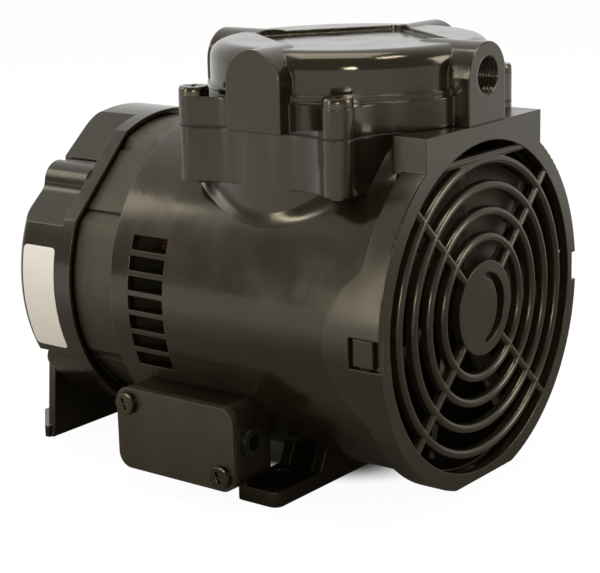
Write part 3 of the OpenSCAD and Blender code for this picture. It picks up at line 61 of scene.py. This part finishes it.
bpy.context.scene.view_settings.view_transform = "Standard"


# The table top: one broad sheet of white card. The camera sees it plain white with the object's soft
# shadow. In the middle of the space under the object it is dark, partly real shade and partly a painted
# shadow, as its tone drops there. The enamel mirrors it white only where it lies further off; close by
# and past the fan end it mirrors it dim, a painted shade in the reflection.
def new_material(name):
    material = bpy.data.materials.new(name)
    material.use_nodes = True
    material.node_tree.nodes.clear()
    return material


def node_in(tree, kind, **settings):
    node = tree.nodes.new(kind)
    for key, value in settings.items():
        if key in node.inputs:
            node.inputs[key].default_value = value
        else:
            setattr(node, key, value)
    return node


def math_node(tree, kind, first, second):
    node = node_in(tree, "ShaderNodeMath", operation=kind)
    for socket, value in zip(node.inputs, (first, second)):
        if isinstance(value, (int, float)):
            socket.default_value = value
        else:
            tree.links.new(value, socket)
    return node.outputs[0]


def seen_ray(tree):
    ray = node_in(tree, "ShaderNodeLightPath")
    mirrored = math_node(tree, "MAXIMUM", ray.outputs["Is Glossy Ray"], ray.outputs["Is Transmission Ray"])
    return ray.outputs["Is Camera Ray"], mirrored


table_drop = 0.0004
table_half = 6.0
table_glow = 0.92
table_plain_light = 1.04
table_bounce_and_painted_shadow_tone = (0.30, 0.285, 0.25, 1)
table_bright_tone = (0.95, 0.95, 0.95, 1)
# Painted shade in reflections: near the object and past the fan end the enamel mirrors the table dim.
painted_reflection_shade_shift = (-0.70, -0.07, 0)
painted_reflection_shade_scale = (2.0, 3.57, 0)
painted_reflection_shade_start = 0.90
painted_reflection_shade_end = 1.5
# Painted shadow: under the object the camera sees the table in its dark tone.
painted_shadow_shift = (0.42, 0, 0)
painted_shadow_scale = (21.0, 38.0, 0)
painted_shadow_start = 0.6
painted_shadow_end = 1.1
table_mesh = bpy.data.meshes.new("table")
table_bm = bmesh.new()
bmesh.ops.create_grid(table_bm, x_segments=1, y_segments=1, size=table_half)
bmesh.ops.translate(table_bm, vec=(0, 0, -table_drop), verts=table_bm.verts)
table_bm.to_mesh(table_mesh)
table_bm.free()
table = bpy.data.objects.new("table", table_mesh)
bpy.context.scene.collection.objects.link(table)
table_white = new_material("table_white")
table_tree = table_white.node_tree
table_shade = node_in(table_tree, "ShaderNodeBsdfDiffuse")
table_tone = node_in(table_tree, "ShaderNodeMix", data_type="RGBA")
table_tone.inputs[6].default_value = table_bounce_and_painted_shadow_tone
table_tone.inputs[7].default_value = table_bright_tone
table_plain = node_in(table_tree, "ShaderNodeEmission", Color=(1, 1, 1, 1), Strength=table_plain_light)
table_place = node_in(table_tree, "ShaderNodeTexCoord")
table_reflection_shade_map = node_in(table_tree, "ShaderNodeMapping", Location=painted_reflection_shade_shift, Scale=painted_reflection_shade_scale)
table_reflection_shade_from = node_in(table_tree, "ShaderNodeVectorMath", operation="LENGTH")
table_reflection_shade_fade = node_in(table_tree, "ShaderNodeMapRange", interpolation_type="SMOOTHSTEP")
table_reflection_shade_fade.inputs["From Min"].default_value = painted_reflection_shade_start
table_reflection_shade_fade.inputs["From Max"].default_value = painted_reflection_shade_end
table_tree.links.new(table_place.outputs["Object"], table_reflection_shade_map.inputs["Vector"])
table_tree.links.new(table_reflection_shade_map.outputs["Vector"], table_reflection_shade_from.inputs[0])
table_tree.links.new(table_reflection_shade_from.outputs["Value"], table_reflection_shade_fade.inputs["Value"])
table_seen, table_mirrored = seen_ray(table_tree)
table_painted_shadow_map = node_in(table_tree, "ShaderNodeMapping", Location=painted_shadow_shift, Scale=painted_shadow_scale)
table_painted_shadow_from = node_in(table_tree, "ShaderNodeVectorMath", operation="LENGTH")
table_outside_painted_shadow = node_in(table_tree, "ShaderNodeMapRange", interpolation_type="SMOOTHSTEP")
table_outside_painted_shadow.inputs["From Min"].default_value = painted_shadow_start
table_outside_painted_shadow.inputs["From Max"].default_value = painted_shadow_end
table_tree.links.new(table_place.outputs["Object"], table_painted_shadow_map.inputs["Vector"])
table_tree.links.new(table_painted_shadow_map.outputs["Vector"], table_painted_shadow_from.inputs[0])
table_tree.links.new(table_painted_shadow_from.outputs["Value"], table_outside_painted_shadow.inputs["Value"])
# Inside the painted shadow the camera gets the dark tone instead of plain white.
table_plainly = math_node(table_tree, "MULTIPLY", table_seen, table_outside_painted_shadow.outputs["Result"])
table_share = math_node(table_tree, "MAXIMUM", table_plainly,
                        math_node(table_tree, "MULTIPLY", table_mirrored, table_reflection_shade_fade.outputs["Result"]))
table_tree.links.new(table_plainly, table_tone.inputs[0])
table_tree.links.new(table_tone.outputs[2], table_shade.inputs["Color"])
table_mix = node_in(table_tree, "ShaderNodeMixShader")
table_tree.links.new(math_node(table_tree, "MULTIPLY", table_share, table_glow), table_mix.inputs[0])
table_tree.links.new(table_shade.outputs[0], table_mix.inputs[1])
table_tree.links.new(table_plain.outputs[0], table_mix.inputs[2])
table_end = node_in(table_tree, "ShaderNodeOutputMaterial")
table_tree.links.new(table_mix.outputs[0], table_end.inputs["Surface"])
table_mesh.materials.append(table_white)

# The room: a white backdrop behind the object in a dim tent, with soft lamps above, at the left and
# at the right. A bar over the fan end draws the highlight on the dome, a small lamp beside the camera
# lights the windings, and a tall narrow one draws the streaks on the barrel.
room_tint = (1.0, 0.96, 0.88, 1)
room_dimness = 0.28
room_back_way = (-0.70, 0.66, 0.25)
room_fade_start = -0.25
room_fade_end = 0.95
lamp_tint = (1.0, 0.96, 0.89)
lamp_aim = Vector((0, 0, 0.06))
room = bpy.data.worlds.new("room")
room.use_nodes = True
room_tree = room.node_tree
room_tree.nodes.clear()
room_dim = node_in(room_tree, "ShaderNodeBackground", Color=room_tint, Strength=room_dimness)
room_white = node_in(room_tree, "ShaderNodeBackground", Color=(1, 1, 1, 1), Strength=1.0)
room_seen, room_mirrored = seen_ray(room_tree)
room_way = node_in(room_tree, "ShaderNodeTexCoord")
room_back = node_in(room_tree, "ShaderNodeVectorMath", operation="DOT_PRODUCT")
room_back.inputs[1].default_value = room_back_way
room_fade = node_in(room_tree, "ShaderNodeMapRange", interpolation_type="SMOOTHSTEP")
room_fade.inputs["From Min"].default_value = room_fade_start
room_fade.inputs["From Max"].default_value = room_fade_end
room_tree.links.new(room_way.outputs["Generated"], room_back.inputs[0])
room_tree.links.new(room_back.outputs["Value"], room_fade.inputs["Value"])
room_mix = node_in(room_tree, "ShaderNodeMixShader")
room_share = math_node(room_tree, "MULTIPLY", room_mirrored, room_fade.outputs["Result"])
room_tree.links.new(math_node(room_tree, "MAXIMUM", room_seen, room_share), room_mix.inputs[0])
room_tree.links.new(room_dim.outputs[0], room_mix.inputs[1])
room_tree.links.new(room_white.outputs[0], room_mix.inputs[2])
room_end = node_in(room_tree, "ShaderNodeOutputWorld")
room_tree.links.new(room_mix.outputs[0], room_end.inputs["Surface"])
bpy.context.scene.world = room
for name, place, wide, tall, power in (("top_lamp", (-0.1, -0.05, 1.1), 0.7, 0.7, 5.0),
                                       ("rim_lamp", (0.50, -0.02, 1.05), 0.30, 0.10, 2.2),
                                       ("left_lamp", (-0.95, -0.45, 0.60), 0.5, 0.5, 2.2),
                                       ("edge_lamp", (-0.55, -1.1, 0.35), 0.10, 0.9, 3.4),
                                       ("fill_lamp", (0.70, -0.95, 0.30), 0.16, 0.16, 2.6),
                                       ("right_lamp", (1.0, 0.55, 0.5), 0.4, 0.6, 5.0)):
    lamp_data = bpy.data.lights.new(name, "AREA")
    lamp_data.shape = "RECTANGLE"
    lamp_data.size = wide
    lamp_data.size_y = tall
    lamp_data.energy = power
    lamp_data.color = lamp_tint
    lamp = bpy.data.objects.new(name, lamp_data)
    bpy.context.scene.collection.objects.link(lamp)
    lamp.location = place
    lamp.rotation_euler = (lamp_aim - Vector(place)).to_track_quat("-Z", "Y").to_euler()

# Crankcase: one die-cast aluminium piece with barrel, cylinder tower, terminal box and front foot.
# It is shot-blasted and sprayed with a glossy brown-black enamel. The paint has rounded every
# edge and shows a fine orange peel and a few specks of dust. Along the edges the colour is a little
# lighter: partly thin paint, partly a painted highlight.
bevel_samples = 6
edge_share_start = 0.8
edge_share_end = 0.99
enamel_shine = 0.68
enamel_tint = (1.0, 0.91, 0.72, 1)
paint_grain = 38.0
edge_wear_and_highlight_grain = 130.0
gloss_grain = 70.0
skin_grain = 1100.0
skin_rise = 0.05
skin_deep = 0.0002
peel_grain = 210.0
peel_deep = 0.0006
dust_grain = 230.0
dust_size = 0.035
dust_tone = (0.28, 0.26, 0.22)
casting_dark = (0.0085, 0.0064, 0.0036)
casting_light = (0.0135, 0.0103, 0.0060)
casting_gloss = 0.16


def object_place(tree):
    return node_in(tree, "ShaderNodeTexCoord").outputs["Object"]


def noise(tree, where, scale, detail=2.0):
    grain = node_in(tree, "ShaderNodeTexNoise", Scale=scale, Detail=detail)
    tree.links.new(where, grain.inputs["Vector"])
    return grain.outputs["Fac"]


def spread(tree, value, low, high, start=0.3, end=0.7):
    node = node_in(tree, "ShaderNodeMapRange")
    for key, number in (("From Min", start), ("From Max", end), ("To Min", low), ("To Max", high)):
        node.inputs[key].default_value = number
    tree.links.new(value, node.inputs["Value"])
    return node.outputs["Result"]


def two_tones(tree, share, low, high):
    mix = node_in(tree, "ShaderNodeMix", data_type="RGBA")
    for socket, tone in ((mix.inputs[6], low), (mix.inputs[7], high)):
        if isinstance(tone, tuple):
            socket.default_value = (*tone, 1)
        else:
            tree.links.new(tone, socket)
    tree.links.new(share, mix.inputs[0])
    return mix.outputs[2]


def bump(tree, height, strength, distance, under):
    node = node_in(tree, "ShaderNodeBump", Strength=strength, Distance=distance)
    tree.links.new(height, node.inputs["Height"])
    tree.links.new(under, node.inputs["Normal"])
    return node.outputs["Normal"]


# Bevel shading rounds the edges; the mask it returns marks them for a lighter tone, partly wear of the coat
# and partly a painted highlight.
def soft_edges(tree, radius):
    bevel = node_in(tree, "ShaderNodeBevel", samples=bevel_samples, Radius=radius)
    flat = node_in(tree, "ShaderNodeNewGeometry")
    dot = node_in(tree, "ShaderNodeVectorMath", operation="DOT_PRODUCT")
    tree.links.new(bevel.outputs["Normal"], dot.inputs[0])
    tree.links.new(flat.outputs["Normal"], dot.inputs[1])
    edge_wear_and_highlight = spread(tree, dot.outputs["Value"], 1.0, 0.0, edge_share_start, edge_share_end)
    return bevel.outputs["Normal"], edge_wear_and_highlight


def finish_material(material, shader):
    out = node_in(material.node_tree, "ShaderNodeOutputMaterial")
    material.node_tree.links.new(shader.outputs[0], out.inputs["Surface"])
    return material


def enamel(name, low, high, gloss, edge=0.0005, peel=0.04, specks=0.5, thin_paint_and_highlight=(0.07, 0.06, 0.042)):
    material = new_material(name)
    tree = material.node_tree
    where = object_place(tree)
    shader = node_in(tree, "ShaderNodeBsdfPrincipled")
    shader.inputs["Specular IOR Level"].default_value = enamel_shine
    shader.inputs["Specular Tint"].default_value = enamel_tint
    rounded, edge_wear_and_highlight = soft_edges(tree, edge)
    paint = two_tones(tree, spread(tree, noise(tree, where, paint_grain, 4.0), 0.0, 1.0), low, high)
    # Edges a little lighter in patches: partly thin paint, partly a painted highlight.
    patches = spread(tree, noise(tree, where, edge_wear_and_highlight_grain, 3.0), 0.05, 0.55)
    patchy_edge_wear_and_highlight = math_node(tree, "MULTIPLY", edge_wear_and_highlight, patches)
    paint = two_tones(tree, patchy_edge_wear_and_highlight, paint, thin_paint_and_highlight)
    dust = node_in(tree, "ShaderNodeTexVoronoi", Scale=dust_grain, Randomness=1.0)
    tree.links.new(where, dust.inputs["Vector"])
    dot = math_node(tree, "LESS_THAN", dust.outputs["Distance"], dust_size)
    paint = two_tones(tree, math_node(tree, "MULTIPLY", dot, specks), paint, dust_tone)
    tree.links.new(paint, shader.inputs["Base Color"])
    tree.links.new(spread(tree, noise(tree, where, gloss_grain, 3.0), gloss - 0.04, gloss + 0.07),
                   shader.inputs["Roughness"])
    skin = bump(tree, noise(tree, where, skin_grain), skin_rise, skin_deep, rounded)
    peeled = bump(tree, noise(tree, where, peel_grain, 1.0), peel, peel_deep, skin)
    tree.links.new(peeled, shader.inputs["Normal"])
    return finish_material(material, shader)


def dress(nodes, material):
    for name in nodes:
        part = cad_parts[name]
        part.data.materials.clear()
        part.data.materials.append(material)


casting_enamel = enamel("casting_enamel", casting_dark, casting_light, casting_gloss)
dress(["crankcase", "bearing_wall", "cylinder_tower", "front_foot", "terminal_box"], casting_enamel)

# Tower root: the casting flows from the barrel into the round cylinder tower in a soft hollow
# curve. It is part of the same casting and carries the same enamel.
root_edge = 0.0001
root_enamel = enamel("root_enamel", casting_dark, casting_light, casting_gloss, edge=root_edge,
                     thin_paint_and_highlight=(0.011, 0.008, 0.005))
axis_up = 0.060
barrel_r = 0.0552
tower_x = 0.005
tower_r = 0.046
root_top = 0.1170
root_r = 0.0110
root_least_r = 0.0008
root_r_step = 0.0001
root_start = math.radians(36)
root_end = math.radians(324)
root_stations = 145
root_rings = 9
root_tuck = 0.0001
root_lean = 0.01


def root_center(turn, r):
    y = (tower_r + r) * math.sin(turn)
    rise = math.sqrt(max((barrel_r + r) ** 2 - y * y, 0))
    return Vector((tower_x + (tower_r + r) * math.cos(turn), y, axis_up + rise))


root_bm = bmesh.new()
last_row = None
for i in range(root_stations):
    turn = root_start + (root_end - root_start) * i / (root_stations - 1)
    r = root_r
    while root_center(turn, r).z > root_top and r > root_least_r:
        r -= root_r_step
    center = root_center(turn, r)
    to_tower = Vector((-math.cos(turn), -math.sin(turn), 0))
    to_barrel = Vector((0, -center.y, axis_up - center.z)).normalized()
    row = []
    for k in range(root_rings):
        share = k / (root_rings - 1)
        aim = to_tower.slerp(to_barrel, share)
        edge_tuck = 0 if 0 < k < root_rings - 1 else root_tuck
        row.append(root_bm.verts.new(center + aim * (r + edge_tuck)))
    edges = [root_bm.edges.new((row[k], row[k + 1])) for k in range(root_rings - 1)]
    if last_row:
        bmesh.ops.bridge_loops(root_bm, edges=last_row + edges)
    last_row = edges
bmesh.ops.recalc_face_normals(root_bm, faces=root_bm.faces)
root_mesh = bpy.data.meshes.new("tower_root")
root_bm.to_mesh(root_mesh)
root_bm.free()
outward = root_mesh.polygons[len(root_mesh.polygons) // 2]
if outward.normal.dot(Vector((outward.center.x - tower_x, outward.center.y, root_lean))) < 0:
    root_mesh.flip_normals()
root_mesh.shade_smooth()
root_mesh.materials.append(root_enamel)
tower_root = bpy.data.objects.new("tower_root", root_mesh)
bpy.context.scene.collection.objects.link(tower_root)
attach(tower_root, "housing")

# Stator stack and rotor core: silicon-steel laminations about half a millimetre thick, pressed
# tight, cleated, and dipped in a thin dull varnish. The edges of the sheets show as fine lines.
sheet_tint = (1.0, 0.92, 0.76, 1)
sheet_metal_share = 0.15
sheet_edge = 0.0004
sheet_lines = 480.0
sheet_line_tone = (0.012, 0.0115, 0.009)
sheet_edge_wear_and_highlight_tone = (0.13, 0.125, 0.10)
fine_deep = 0.0001


def laminations(name, low, high):
    material = new_material(name)
    tree = material.node_tree
    where = object_place(tree)
    shader = node_in(tree, "ShaderNodeBsdfPrincipled")
    shader.inputs["Specular Tint"].default_value = sheet_tint
    shader.inputs["Metallic"].default_value = sheet_metal_share
    rounded, edge_wear_and_highlight = soft_edges(tree, sheet_edge)
    lines = node_in(tree, "ShaderNodeTexWave", Scale=sheet_lines, Distortion=0.4, Detail=1.0)
    lines.bands_direction = "X"
    tree.links.new(where, lines.inputs["Vector"])
    tone = two_tones(tree, spread(tree, noise(tree, where, 60.0, 4.0), 0.0, 1.0), low, high)
    tone = two_tones(tree, math_node(tree, "MULTIPLY", lines.outputs["Fac"], 0.35), tone, sheet_line_tone)
    # Lighter along the edges: partly worn varnish, partly a painted highlight.
    tone = two_tones(tree, math_node(tree, "MULTIPLY", edge_wear_and_highlight, 0.5), tone, sheet_edge_wear_and_highlight_tone)
    tree.links.new(tone, shader.inputs["Base Color"])
    tree.links.new(spread(tree, noise(tree, where, 150.0, 3.0), 0.34, 0.5), shader.inputs["Roughness"])
    ridged = bump(tree, lines.outputs["Fac"], 0.25, fine_deep, rounded)
    tree.links.new(bump(tree, noise(tree, where, 800.0), 0.12, fine_deep, ridged), shader.inputs["Normal"])
    return finish_material(material, shader)


lamination_steel = laminations("lamination_steel", (0.034, 0.0295, 0.0195), (0.054, 0.047, 0.032))
dress(["stator_stack", "rotor_core"], lamination_steel)


# Windings: enamelled copper wire about a millimetre thick. It fills the slots of the stack, and at
# the front it is wound in two arched coils, which are tied with twine. At the rear it lies in a ring.
def wire(name, paths, thickness, material):
    data = bpy.data.curves.new(name, "CURVE")
    data.dimensions = "3D"
    data.bevel_depth = thickness / 2
    data.bevel_resolution = 1
    data.use_fill_caps = True
    for path in paths:
        line = data.splines.new("POLY")
        line.points.add(len(path) - 1)
        for spot, place in zip(line.points, path):
            spot.co = (*place, 1)
    data.materials.append(material)
    piece = bpy.data.objects.new(name, data)
    bpy.context.scene.collection.objects.link(piece)
    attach(piece, "housing")
    return piece


wire_metal_share = 0.85
wire_coat = 0.6
wire_coat_gloss = 0.12
wire_shade = 0.55


def wire_enamel(name, color, gloss):
    material = new_material(name)
    tree = material.node_tree
    where = object_place(tree)
    shader = node_in(tree, "ShaderNodeBsdfPrincipled", Metallic=wire_metal_share)
    shader.inputs["Coat Weight"].default_value = wire_coat
    shader.inputs["Coat Roughness"].default_value = wire_coat_gloss
    shade = tuple(wire_shade * c for c in color)
    tone = two_tones(tree, spread(tree, noise(tree, where, 160.0, 3.0), 0.0, 1.0), shade, color)
    tree.links.new(tone, shader.inputs["Base Color"])
    tree.links.new(spread(tree, noise(tree, where, 500.0), gloss, gloss + 0.12), shader.inputs["Roughness"])
    return finish_material(material, shader)


copper_wire = wire_enamel("copper_wire", (0.95, 0.38, 0.11), 0.22)
strand = 0.00105
strand_gap = 0.00127
stack_front = -0.0457
stack_rear = -0.0727
coil_in_r = 0.0315
coil_layers = 8
coil_nest = 6
coil_stand = 0.0092
coil_middle = stack_front + coil_stand
coil_first = 0.0011
coil_half = math.radians(60)
run_steps = 14
turn_steps = 5


def around(x, r, turn):
    return (x, r * math.sin(turn), axis_up + r * math.cos(turn))


def coil_path(side):
    path = []
    loop_steps = 2 * (run_steps + turn_steps)
    for n in range(coil_layers * coil_nest * loop_steps):
        t = n / loop_steps
        layer, within = divmod(t, coil_nest)
        nest = within if layer % 2 == 0 else coil_nest - within
        b = coil_first + nest * strand_gap
        climb = max(0.0, within - (coil_nest - 1))
        r = coil_in_r + min(layer + climb, coil_layers - 1) * strand_gap
        k = n % loop_steps
        if k < run_steps:
            turn, x = coil_half * (1 - 2 * k / run_steps), b
        elif k < run_steps + turn_steps:
            bend = math.pi * (k - run_steps) / turn_steps
            turn, x = -coil_half - b / r * math.sin(bend), b * math.cos(bend)
        elif k < 2 * run_steps + turn_steps:
            turn, x = -coil_half * (1 - 2 * (k - run_steps - turn_steps) / run_steps), -b
        else:
            bend = math.pi * (k - 2 * run_steps - turn_steps) / turn_steps
            turn, x = coil_half + b / r * math.sin(bend), -b * math.cos(bend)
        path.append(around(coil_middle + x, r, turn + side))
    return path


front_coils = wire("front_coils", [coil_path(0.0), coil_path(math.pi)], strand, copper_wire)
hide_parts("front_windings")

ring_stand = 0.0122
ring_long = 0.012
ring_rear = stack_rear - ring_stand
ring_turns = 9
ring_steps = 48
ring_path = []
for layer in range(coil_layers):
    for n in range(ring_turns * ring_steps):
        along = n / (ring_turns * ring_steps)
        along = along if layer % 2 == 0 else 1 - along
        ring_path.append(around(ring_rear + strand / 2 + along * (ring_long - strand),
                                coil_in_r + layer * strand_gap, 2 * math.pi * n / ring_steps))
rear_ring = wire("rear_ring", [ring_path], strand, copper_wire)
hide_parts("rear_windings")

slot_count = 24
slot_in_r = 0.0303
slot_deep = 8
slot_wide = 3
slot_row_step = 1.09 * strand
slot_side_step = 1.02 * strand
slot_wires = []
for i in range(slot_count):
    out = 2 * math.pi * (i + 0.5) / slot_count
    for deep in range(slot_deep):
        for wide in range(slot_wide):
            r = slot_in_r + deep * slot_row_step
            shift = (wide - (slot_wide - 1) / 2) * slot_side_step
            y = r * math.cos(out) - shift * math.sin(out)
            z = axis_up + r * math.sin(out) + shift * math.cos(out)
            slot_wires.append([(stack_rear, y, z), (stack_front, y, z)])
slot_bundles = wire("slot_bundles", slot_wires, slot_side_step, copper_wire)
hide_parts("coil_sides")

# Twine: waxed thread that ties each front coil at seven places. It is wound round the bundle by hand
# and pulled tight, so that the wires can't shift.
fibre_edge = 0.0003


def fibre(name, color, gloss, grain=700.0, weave=0.25, shaded=0.7):
    material = new_material(name)
    tree = material.node_tree
    where = object_place(tree)
    shader = node_in(tree, "ShaderNodeBsdfPrincipled")
    shade = tuple(shaded * c for c in color)
    tone = two_tones(tree, spread(tree, noise(tree, where, grain / 4, 3.0), 0.0, 1.0), shade, color)
    tree.links.new(tone, shader.inputs["Base Color"])
    tree.links.new(spread(tree, noise(tree, where, grain / 2), gloss - 0.05, gloss + 0.1),
                   shader.inputs["Roughness"])
    rounded, _ = soft_edges(tree, fibre_edge)
    woven = bump(tree, noise(tree, where, grain, 3.0), weave, fine_deep, rounded)
    tree.links.new(woven, shader.inputs["Normal"])
    return finish_material(material, shader)


twine = fibre("twine", (0.55, 0.43, 0.27), 0.6)
twine_thick = 0.0007
tie_gap = 0.0003
tie_reach = coil_first + coil_nest * strand_gap + strand / 2 + tie_gap
tie_inner = coil_in_r - strand / 2 - tie_gap
tie_outer = coil_in_r + (coil_layers - 1) * strand_gap + strand / 2 + tie_gap
tie_corner = 0.0012
tie_corner_steps = 4
tie_count = 7
tie_first = -54
tie_step = 18
ties = []
for side in (0.0, math.pi):
    for step in range(tie_count):
        turn = side + math.radians(tie_first + tie_step * step)
        loop = []
        for cx, cr, start in ((1, 1, 0), (-1, 1, 90), (-1, 0, 180), (1, 0, 270)):
            mid_x = coil_middle + cx * (tie_reach - tie_corner)
            mid_r = tie_outer - tie_corner if cr else tie_inner + tie_corner
            for a in range(tie_corner_steps + 1):
                bend = math.radians(start + 90 * a / tie_corner_steps)
                x = mid_x + tie_corner * math.cos(bend)
                loop.append(around(x, mid_r + tie_corner * math.sin(bend), turn))
        loop.append(loop[0])
        ties.append(loop)
wire("coil_ties", ties, twine_thick, twine)

# Rear end bell: a die-cast cover with a wavy outline, painted like the crankcase and clamped with
# the stack by four long through bolts. It carries the rear ball bearing.
dress(["end_bell"], casting_enamel)
metal_edge = 0.0003
metal_shade = 0.7


def bare_metal(name, color, gloss, grain=400.0, rise=0.1):
    material = new_material(name)
    tree = material.node_tree
    where = object_place(tree)
    shader = node_in(tree, "ShaderNodeBsdfPrincipled", Metallic=1.0)
    shade = tuple(metal_shade * c for c in color)
    tone = two_tones(tree, spread(tree, noise(tree, where, grain / 5, 4.0), 0.0, 1.0), shade, color)
    tree.links.new(tone, shader.inputs["Base Color"])
    marks = noise(tree, where, grain, 3.0)
    tree.links.new(spread(tree, marks, gloss, gloss + 0.12), shader.inputs["Roughness"])
    rounded, _ = soft_edges(tree, metal_edge)
    tree.links.new(bump(tree, marks, rise, fine_deep, rounded), shader.inputs["Normal"])
    return finish_material(material, shader)


screw_plate = bare_metal("screw_plate", (0.10, 0.085, 0.062), 0.17)
dress(["through_bolts"], screw_plate)
ground_steel = bare_metal("ground_steel", (0.56, 0.56, 0.57), 0.16, rise=0.04)
dress(["rear_bearing_outer", "rear_bearing_inner", "rear_bearing_balls"], ground_steel)
spring_steel = bare_metal("spring_steel", (0.5, 0.51, 0.54), 0.16)
dress(["preload_washer"], spring_steel)

# Label: a strip of matt white film, cut with square corners and stuck round the bell's side with its
# own adhesive. It is kept blank.
label_film = fibre("label_film", (0.97, 0.945, 0.88), 0.38, grain=420.0, weave=0.06, shaded=0.96)
dress(["blank_label"], label_film)

# Rear foot: a bracket pressed from thick steel sheet, bent at its foot and punched for two bolts. It
# is enamelled darker than the casting and held by the two lower through bolts.
bracket_enamel = enamel("bracket_enamel", (0.006, 0.0048, 0.003), (0.010, 0.008, 0.005), 0.20)
dress(["rear_foot"], bracket_enamel)

# Terminal box fittings: a moulded block with three brass screws, a rubber inlet grommet, a rubber
# gasket, and a pressed steel cover with a satin coat, held by two cross-recess screws.
block_plastic = fibre("block_plastic", (0.05, 0.032, 0.02), 0.4, weave=0.08)
dress(["terminal_block"], block_plastic)
terminal_brass = bare_metal("terminal_brass", (0.7, 0.5, 0.22), 0.22)
dress(["terminal_screws"], terminal_brass)
seal_rubber = fibre("seal_rubber", (0.010, 0.0095, 0.009), 0.34, weave=0.08)
dress(["cord_grommet", "cover_gasket"], seal_rubber)
cover_enamel = enamel("cover_enamel", (0.022, 0.018, 0.0115), (0.033, 0.0275, 0.018), 0.28, edge=0.0004)
dress(["terminal_cover"], cover_enamel)
dress(["cover_screws"], screw_plate)

# Shaft and rotor: a ground steel shaft in ball bearings, pressed into a laminated core. The cage
# with its end rings and fins is cast round the core in aluminium.
dress(["shaft", "front_bearing_outer", "front_bearing_inner", "front_bearing_balls"], ground_steel)
cast_aluminium = bare_metal("cast_aluminium", (0.60, 0.60, 0.61), 0.34, grain=250.0, rise=0.2)
dress(["rotor_cage"], cast_aluminium)

# Pump drive: a cast iron eccentric with its counterweight, bored for the shaft and held on it by a
# set screw. A ball bearing of ground steel sits on its pin and carries the rod.
crank_iron = bare_metal("crank_iron", (0.2, 0.2, 0.2), 0.38, grain=300.0, rise=0.25)
dress(["eccentric"], crank_iron)
dress(["eccentric_screw"], screw_plate)
dress(["rod_bearing_inner", "rod_bearing_outer", "rod_bearing_balls"], ground_steel)

# Wobble piston: a die-cast aluminium rod whose top is the piston. A cup moulded in filled plastic is
# clamped on it by a cast plate and one screw.
dress(["connecting_rod", "cup_retainer"], cast_aluminium)
cup_seal = fibre("cup_seal", (0.42, 0.33, 0.2), 0.4, weave=0.08)
dress(["piston_cup"], cup_seal)
dress(["retainer_screw"], screw_plate)

# Cooling fan: a hub with seven pitched blades, moulded in one piece in dark nylon. It is pushed on
# the shaft and held by a set screw.
fan_nylon = enamel("fan_nylon", (0.0045, 0.004, 0.003), (0.007, 0.006, 0.0045), 0.42, edge=0.0006,
                   peel=0.02, specks=0.1, thin_paint_and_highlight=(0.012, 0.011, 0.009))
dress(["cooling_fan"], fan_nylon)
dress(["fan_screw"], screw_plate)

# Fan guard: one moulding in the same nylon, with rings and ribs that round towards the front. Its
# skirt snaps over two tabs on the barrel.
guard_nylon = enamel("guard_nylon", (0.0120, 0.0096, 0.0062), (0.0180, 0.0145, 0.0094), 0.22,
                     peel=0.02, specks=0.2, thin_paint_and_highlight=(0.022, 0.018, 0.012))
dress(["fan_guard"], guard_nylon)

# Cylinder sleeve, valve plate and reeds: a sleeve turned from aluminium, sealed by a rubber ring,
# under an aluminium plate. The reeds and their keeper are stamped from spring steel and screwed on.
turned_aluminium = bare_metal("turned_aluminium", (0.66, 0.66, 0.67), 0.22, grain=500.0)
dress(["cylinder_sleeve", "valve_plate"], turned_aluminium)
dress(["sleeve_seal"], seal_rubber)
dress(["exhaust_reed", "exhaust_reed_root", "intake_reed", "intake_reed_root", "reed_keeper"], spring_steel)
dress(["keeper_screw", "intake_screw"], screw_plate)

# Cylinder head: a die-cast dome with four bosses and a panel sunk in its top, in a slightly
# lighter coat of the same enamel. It sits on a thin gasket under four screws.
head_enamel = enamel("head_enamel", (0.0095, 0.0072, 0.0040), (0.0150, 0.0115, 0.0066), 0.12, edge=0.0008)
dress(["cylinder_head"], head_enamel)
gasket_sheet = fibre("gasket_sheet", (0.02, 0.018, 0.016), 0.6)
dress(["head_gasket"], gasket_sheet)
dress(["head_screws"], screw_plate)
